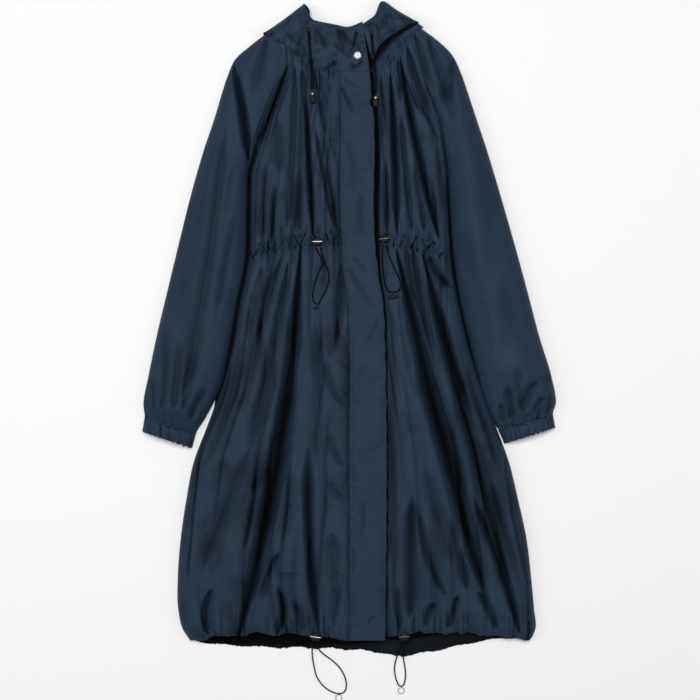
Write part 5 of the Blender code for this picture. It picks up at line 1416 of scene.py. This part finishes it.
def bump(tree, shader, heights):
    """Heights laid over each other as bumps, each with its own depth in metres and strength."""
    normal = None
    for height, depth, strength in heights:
        inputs = {"Height": height, "Distance": depth, "Strength": strength}
        if normal:
            inputs["Normal"] = normal
        normal = node(tree, "ShaderNodeBump", inputs).outputs["Normal"]
    tree.links.new(normal, shader.inputs["Normal"])


PAINTED_SHADE_COLOUR = (0.0006, 0.0008, 0.0012, 1.0)  # painted shade: the near-black colour that the cloth is darkened to in folds, gaps and under other layers
THREAD = 0.00038  # pitch of the threads
CRINKLE = 0.00030  # depth of the cloth's crinkles


def uneven_dye(tree, groups, place, deep, pale, patch, fleck):
    return placed(tree, groups["dye"], {"Vector": place, "Deep": (*deep, 1.0), "Pale": (*pale, 1.0),
                                        "Patch Scale": patch, "Fleck Scale": fleck})["Color"]


def cloth_material(groups, name, deep, pale, roughness):
    """Taffeta: dyed unevenly, crinkled and woven, its gloss a little uneven too, with shade painted into its
    colour in folds, where it is also matt."""
    made, shader = new_material(name, deep, roughness)
    tree = made.node_tree
    at = node(tree, "ShaderNodeTexCoord").outputs
    dye = uneven_dye(tree, groups, at["Object"], deep, pale, 11.0, 420.0)
    painted_shade = node(tree, "ShaderNodeAttribute", attribute_name="painted_shade").outputs["Fac"]
    # painted shade: the dyed colour goes towards near-black as the painted shade attribute rises
    tree.links.new(blend(tree, painted_shade, dye, PAINTED_SHADE_COLOUR), shader.inputs["Base Color"])
    wear = placed(tree, groups["wear"], {"Vector": at["Object"], "Smooth": roughness - 0.05,
                                         "Scuffed": roughness + 0.08, "Scale": 30.0})
    tree.links.new(math(tree, "MAXIMUM", wear["Roughness"], painted_shade), shader.inputs["Roughness"])
    weave = placed(tree, groups["weave"], {"Thread UV": at["UV"], "Pitch": THREAD})
    folds = placed(tree, groups["crinkle"], {"Vector": at["Object"], "Scale": 48.0})["Height"]
    fine = placed(tree, groups["crinkle"], {"Vector": at["Object"], "Scale": 190.0})["Height"]
    bump(tree, shader, [(folds, CRINKLE, 1.0), (fine, CRINKLE * 0.16, 1.0), (weave["Height"], 0.00003, 0.5)])
    shader.inputs["Sheen Weight"].default_value = 0.01
    shader.inputs["Sheen Roughness"].default_value = 0.45
    shader.inputs["Sheen Tint"].default_value = (0.60, 0.74, 0.92, 1.0)
    shader.inputs["Specular IOR Level"].default_value = 0.08
    return made


def hard_material(groups, name, colour, metallic, smooth, scuffed, scale):
    """Plastic or metal with handling wear."""
    made, shader = new_material(name, colour, smooth, metallic)
    tree = made.node_tree
    at = node(tree, "ShaderNodeTexCoord").outputs["Object"]
    wear = placed(tree, groups["wear"], {"Vector": at, "Smooth": smooth, "Scuffed": scuffed, "Scale": scale})
    tree.links.new(wear["Roughness"], shader.inputs["Roughness"])
    bump(tree, shader, [(wear["Height"], 0.00006, 0.4)])
    shader.inputs["Specular IOR Level"].default_value = 0.14
    return made


def cord_material(groups, name, deep, pale, pitch):
    """Braided elastic: pale strands come and go in a dark cover."""
    made, shader = new_material(name, deep, 0.55)
    tree = made.node_tree
    at = node(tree, "ShaderNodeTexCoord").outputs
    braid = placed(tree, groups["braid"], {"Cord UV": at["UV"], "Pitch": pitch})
    dye = uneven_dye(tree, groups, at["Object"], deep, pale, 120.0, 900.0)
    tree.links.new(dye, shader.inputs["Base Color"])
    bump(tree, shader, [(braid["Height"], 0.00018, 1.0)])
    shader.inputs["Specular IOR Level"].default_value = 0.06
    return made


CLOTHS = {  # name, deep and pale colour, roughness
    "taffeta": ("navy taffeta", (0.0170, 0.0311, 0.0530), (0.0211, 0.0383, 0.0638), 0.55),
    "taffeta inside": ("inside of the taffeta", (0.0036, 0.0056, 0.0084), (0.0082, 0.0124, 0.0180), 0.66),
}
CORDS = {  # name, deep and pale colour, pitch of the braid
    "thread": ("navy thread", (0.0090, 0.0150, 0.0240), (0.0200, 0.0320, 0.0480), 0.0005),
    "elastic": ("black braided elastic", (0.0012, 0.0013, 0.0015), (0.0045, 0.0047, 0.0052), 0.0011),
    "speckled": ("speckled braid", (0.0016, 0.0016, 0.0018), (0.0420, 0.0410, 0.0400), 0.0016),
}
HARD = {  # name, colour, how metallic, roughness where smooth and where scuffed, scale of the scuffs
    "plastic": ("black plastic", (0.0040, 0.0042, 0.0048), 0.0, 0.42, 0.60, 260.0),
    "nickel": ("nickel", (0.300, 0.300, 0.297), 1.0, 0.30, 0.48, 420.0),
    # nickel in shade: nickel painted darker as shade, for the bars of the left locks
    "shaded": ("nickel in shade", (0.090, 0.078, 0.062), 1.0, 0.34, 0.52, 420.0),
    "brass": ("dull brass", (0.400, 0.320, 0.200), 1.0, 0.28, 0.46, 420.0),
}


def all_materials():
    groups = {"weave": weave_group(), "crinkle": crinkle_group(), "dye": dye_group(), "wear": wear_group(),
              "braid": braid_group()}
    makers = ((cloth_material, CLOTHS), (cord_material, CORDS), (hard_material, HARD))
    return {key: maker(groups, *values) for maker, table in makers for key, values in table.items()}


# ---- Trim ----

LOCK_TURNS = {  # turn of each lock and of its bar, in radians about +Z
    "hood_lock_right": 0.04, "hood_lock_left": -0.03, "waist_lock_right": 0.02, "waist_lock_left": 0.10,
    "hem_lock_right": -0.14, "hem_lock_left": 0.10,
}
LOCK_SIZES = {
    "hood": (0.0110, 0.0190, 0.0070), "waist": (0.0150, 0.0135, 0.0070), "hem": (0.0170, 0.0140, 0.0070),
}
BAR_SIZES = {"waist": (0.0180, 0.0030, 0.0022), "hem": (0.0190, 0.0032, 0.0022)}
KNOT_SIZES = {"waist_knot_right": (0.0110, 0.0055, 0.0050), "waist_knot_left": (0.0170, 0.0080, 0.0056)}
KNOT_TURNS = {"waist_knot_right": 0.30, "waist_knot_left": 0.10}
CARRIED = {  # what each cord goes through or ends in, on its own side
    "hood_cord_{}_inner": ("hood_lock", "hood_lock_ball"),
    "hood_cord_{}_outer": ("hood_lock", "hood_lock_ball"),
    "waist_cord_{}": ("waist_lock", "waist_lock_bar", "waist_knot"),
    "hem_cord_{}": ("hem_lock", "hem_lock_bar", "hem_ring"),
}
RING_WIRE = 0.0014
EYELET_WIRE = 0.0013 * 1.3


def middle_of(name):
    low, high = (np.array(corner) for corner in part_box(name))
    return (low + high) / 2, high - low


def turned_about(points, middle, turn):
    """Points turned about +Z and moved to their middle."""
    c, s = np.cos(turn), np.sin(turn)
    return points @ np.array([[c, s, 0.0], [-s, c, 0.0], [0.0, 0.0, 1.0]]) + middle


def block_rings(size, rows, sides, square, ends, along=1):
    """Rings of a rounded block along one axis: superellipses whose size falls off at the ends as another
    one. `square` and `ends` are the exponents, 2 for round and more for squarer."""
    t = -np.cos(np.linspace(0.04, pi - 0.04, rows))
    shrink = (1.0 - np.abs(t) ** ends) ** (1.0 / ends)
    c, s = np.cos(circle(sides)), np.sin(circle(sides))
    round_c = shrink[:, None] * np.sign(c) * np.abs(c) ** (2.0 / square)
    round_s = shrink[:, None] * np.sign(s) * np.abs(s) ** (2.0 / square)
    length = np.broadcast_to(t[:, None], (rows, sides))
    parts = [round_s, length, round_c] if along == 1 else [length, round_c, round_s]
    return t, np.stack(parts, axis=2) * np.array(size) / 2


def turned_rings(profile, size, sides):
    """Rings of a profile turned about +Z: its columns are shares of the radius and of half the height."""
    turn = circle(sides)
    x, y = profile[:, :1] * np.cos(turn), profile[:, :1] * np.sin(turn)
    return np.stack([x, y, np.broadcast_to(profile[:, 1:], x.shape)], axis=2) * size / 2


def lock_piece(name, size, turn, plastic):
    """A cord lock: a barrel with a neck below its push button and three grip grooves."""
    t, rings = block_rings(size, 46, 40, 3.4, 4.0)
    groove = sum(0.10 * np.exp(-(((t - at) / 0.05) ** 2)) for at in (-0.42, -0.22, -0.02))
    button = 0.16 * ease((t - 0.34) / 0.05) + 0.10 * np.exp(-(((t - 0.34) / 0.035) ** 2))
    rings[:, :, [0, 2]] *= (1.0 - groove - button)[:, None, None]
    made = closed_rings(f"{name}_body", turned_about(rings, middle_of(name)[0], turn), plastic)
    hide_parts(name)
    return made


def bar_piece(name, size, turn, metal):
    """A metal crossbar, round at both ends, with a shallow waist."""
    t, rings = block_rings(size, 40, 24, 2.6, 5.0, along=0)
    rings[:, :, [1, 2]] *= (1.0 - 0.14 * (1.0 - t**2))[:, None, None]
    made = closed_rings(f"{name}_metal", turned_about(rings, middle_of(name)[0], turn), metal)
    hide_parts(name)
    return made


def ball_piece(name, metal):
    """A metal ball with a flat seat and a collar: its profile is turned about +Z."""
    middle, size = middle_of(name)
    up = -np.cos(np.linspace(0.12, pi - 0.06, 30))
    across = np.sqrt(1.0 - up**2) * (1.0 - 0.10 * np.exp(-(((up + 0.45) / 0.10) ** 2)))
    rings = turned_rings(np.column_stack([across, up]), size, 36)
    made = closed_rings(f"{name}_metal", rings + middle, metal)
    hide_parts(name)
    return made


def knot_piece(name, turn, braid):
    """A knot of the cord's own braid: a rounded block with strands wound round it as a helix."""
    size = KNOT_SIZES[name]
    t, rings = block_rings(size, 60, 36, 2.0, 2.4, along=0)
    winding = np.sin(8.0 * pi * t[:, None] + 2 * circle(36))
    rings[:, :, [1, 2]] *= (0.95 + 0.05 * winding)[:, :, None]
    uv = np.stack(np.meshgrid(circle(36) * size[1] / 2, t * size[0] / 2), axis=2)
    made = closed_rings(f"{name}_braid", turned_about(rings, middle_of(name)[0], turn), braid, uv)
    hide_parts(name)
    return made


def loop_mesh(name, middle, reach, wire, material, flat=1.0):
    """A closed ring lying flat: a circle of wire carried round an ellipse; `flat` is its height for its
    width."""
    turn, section = circle(48), circle(16)
    outward = np.stack([np.cos(turn), np.sin(turn), 0.0 * turn], axis=1)
    line = outward * np.array([reach[0] - wire / 2, reach[1] - wire / 2, 0.0])
    up = np.array([0.0, 0.0, flat])
    wave = np.cos(section)[None, :, None] * outward[:, None] + np.sin(section)[None, :, None] * up
    points = line[:, None] + wave * wire / 2 + middle
    i, j = np.meshgrid(np.arange(48), np.arange(16), indexing="ij")
    a, b = (i + 1) % 48, (j + 1) % 16
    quads = np.stack([i * 16 + j, a * 16 + j, a * 16 + b, i * 16 + b], axis=2).reshape(-1, 4)
    mesh = bpy.data.meshes.new(name)
    fill_mesh(mesh, points.reshape(-1, 3), [quads])
    return new_piece(name, mesh, [material])


def ring_piece(name, metal):
    middle, size = middle_of(name)
    made = loop_mesh(f"{name}_metal", middle, size[:2] / 2, RING_WIRE, metal)
    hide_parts(name)
    return made


def eyelet_piece(name, metal):
    """A rolled eyelet: a flat ring a little wider than its wire is thick."""
    middle, size = middle_of(name)
    made = loop_mesh(f"{name}_metal", middle, size[:2] / 2, EYELET_WIRE, metal, size[2] / EYELET_WIRE)
    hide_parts(name)
    return made


SNAP_PROFILE = [  # share of the radius, and of half the height
    (0.80, -1.0), (0.97, -0.7), (1.00, -0.1), (0.99, 0.5), (0.94, 0.9), (0.86, 1.0), (0.78, 0.82),
    (0.60, 0.62), (0.40, 0.55), (0.26, 0.60), (0.18, 0.82), (0.08, 0.90),
]


def snap_piece(metal):
    """The snap's cap: a rolled rim round a shallow dish with a small boss, turned about +Z."""
    middle, size = middle_of("snap_cap")
    rings = turned_rings(smooth_line(SNAP_PROFILE, even(44)), size, 48)
    made = closed_rings("snap_cap_metal", rings + middle, metal)
    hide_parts("snap_cap")
    return made


def add_trim(m):
    """Every hard piece; returns the pieces that each cord carries."""
    made = {}
    for name, turn in LOCK_TURNS.items():
        group, _, side = name.split("_")
        made[name] = lock_piece(name, LOCK_SIZES[group], turn, m["plastic"])
        if group in BAR_SIZES:
            bar = f"{group}_lock_bar_{side}"
            # the left locks' bars take the nickel painted darker as shade
            made[bar] = bar_piece(bar, BAR_SIZES[group], turn, m["shaded" if side == "left" else "nickel"])
    made["hood_lock_ball_right"] = ball_piece("hood_lock_ball_right", m["nickel"])
    made["hood_lock_ball_left"] = ball_piece("hood_lock_ball_left", m["brass"])
    for name, turn in KNOT_TURNS.items():
        made[name] = knot_piece(name, turn, m["speckled"])
    for side in SIDES.values():
        made[f"hem_ring_{side}"] = ring_piece(f"hem_ring_{side}", m["nickel"])
        eyelet_piece(f"eyelet_{side}", m["plastic"])
    snap_piece(m["nickel"])
    carried = {}
    for side in SIDES.values():
        for cord, pieces in CARRIED.items():
            carried[cord.format(side)] = [made[f"{piece}_{side}"] for piece in pieces]
    return carried


# ---- The coat ----


def add_panel(node_name, grid, m, turned=False):
    """A cloth panel in place of its node, which is hidden."""
    piece = cloth_piece(node_name, grid, [m["taffeta"], m["taffeta inside"]], turned)
    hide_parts(node_name)
    grid = grid[:, :, :3]
    return piece


PACK_LAYERS = [  # the folded hood from below: share of its outline, and height
    (0.10, 0.0003), (0.60, 0.0003), (0.97, 0.0003), (0.990, 0.0006), (0.994, 0.0012), (0.982, 0.0017),
    (0.992, 0.0022), (0.988, 0.0029), (0.978, 0.0032), (0.986, 0.0036), (0.980, 0.0042), (0.96, 0.0045),
    (0.60, 0.0045), (0.10, 0.0045),
]


def add_hood_back(m):
    """The folded back of the hood: a flat rounded slab whose edge shows three layers of cloth."""
    outline = HOOD_PACK_OUTLINE[::-1]
    ring = smooth_line(outline + outline[:1], even(181))[:-1]
    centre = ring.mean(axis=0)
    share, z = np.array(PACK_LAYERS).T[:, :, None]
    layers = centre + (ring - centre) * share[:, None]
    layers = np.concatenate([layers, np.broadcast_to(z[:, None], (len(z), len(ring), 1))], axis=2)
    piece = closed_rings("hood_back_layers", layers, m["taffeta inside"])
    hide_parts("hood_back_folded")


def add_sleeves(m):
    """Both sleeves and cuffs; returns their grids. A sleeve's rows start at the cuff, closer together
    there."""
    grids = {}
    fine = even(400)
    for side, name in SIDES.items():
        rails = sleeve_rails(side, fine)
        middle = (rails[:, :2] + rails[:, 2:4]) / 2
        along = run_of(middle)
        cuff = np.array(SLEEVE_STATIONS[side][1])
        first = int(np.argmin(np.linalg.norm(middle - (cuff[:2] + cuff[2:4]) / 2, axis=1)))
        shares = fine[first] + (1.0 - fine[first]) * even(SLEEVE_ROWS + 1) ** 1.15
        sleeve = sleeve_grid(side, shares, np.interp(shares, fine, along) - along[first])
        cuff = cuff_grid(side, sleeve[0])
        add_panel(f"sleeve_{name}", sleeve, m, side == LEFT)
        add_panel(f"cuff_{name}", cuff, m, side == LEFT)
        grids[side] = sleeve, cuff
    return grids


def add_stitching(m, fronts, flap, hood, sleeves):
    """The visible stitching, one joined mesh for each part of the coat."""
    hem_top = ROWS["hem_casing"]
    waist = hem_top + ROWS["skirt"]
    top = waist + ROWS["waist_casing"]
    neck = top + ROWS["upper"] + ROWS["raglan"]
    for side, name in SIDES.items():
        last = FRONT_COLUMNS - (1 if side == RIGHT else 34)
        runs = [stitch_run(fronts[side], (row, row), (3, last)) for row in (waist, top)]
        runs.append(stitch_run(fronts[side], (neck - 1.6, neck - 1.6), (2, last + 10 * (side == LEFT))))
        runs.append(stitch_run(fronts[side], (top + ROWS["upper"] + 2, neck - 2), (2.2, 2.2)))
        stitching(f"stitches_front_{name}", runs, m["thread"])
        columns = (SLEEVE_BELOW + 4, SLEEVE_BELOW + SLEEVE_TOP - 3)
        runs = [stitch_run(grid, (row, row), columns) for grid, row in zip(sleeves[side], (2.0, 4.0))]
        stitching(f"stitches_sleeve_{name}", runs, m["thread"])
    rows = len(flap) - 1
    runs = [stitch_run(flap, (1, rows - 1), (at, at)) for at in (2.2, FLAP_COLUMNS - 2.3)]
    runs += [stitch_run(flap, (row, row), (1, FLAP_COLUMNS - 1)) for row in (hem_top + 0.6, rows - 1.6)]
    stitching("stitches_flap", runs, m["thread"])
    edged = [grid for name, grid in hood.items() if name != "hood_left_under"]
    runs = [stitch_run(grid, (1.6, 1.6), (1, grid.shape[1] - 2)) for grid in edged]
    right = hood["hood_right"]
    runs.append(stitch_run(right, (34, HOOD_ROWS - 2), (right.shape[1] * 0.80, right.shape[1] * 0.72)))
    stitching("stitches_hood", runs, m["thread"])


def add_coat(m):
    fronts = {side: front_grid(side) for side in SIDES}
    flap = flap_grid(fronts[RIGHT])
    for side, name in SIDES.items():
        for part, grid in front_panels(fronts[side]).items():
            add_panel(f"front_{name}_{part}", grid, m, side == LEFT)
    add_panel("storm_flap", flap, m)
    for node_name, grid in back_grids().items():
        add_panel(node_name, grid, m, turned=True)
    sleeves = add_sleeves(m)
    add_hood_back(m)
    hood = hood_grids(fronts, flap)
    for name in ("hood_right", "collar_tab", "hood_left"):
        add_panel(name, hood[name], m)
    under = cloth_piece("hood_left_under", hood["hood_left_under"], [m["taffeta"], m["taffeta inside"]])
    add_stitching(m, fronts, flap, hood, sleeves)


add_camera()
materials = all_materials()
cords = add_cords(materials["elastic"])
add_studio()
add_trim(materials)
add_coat(materials)
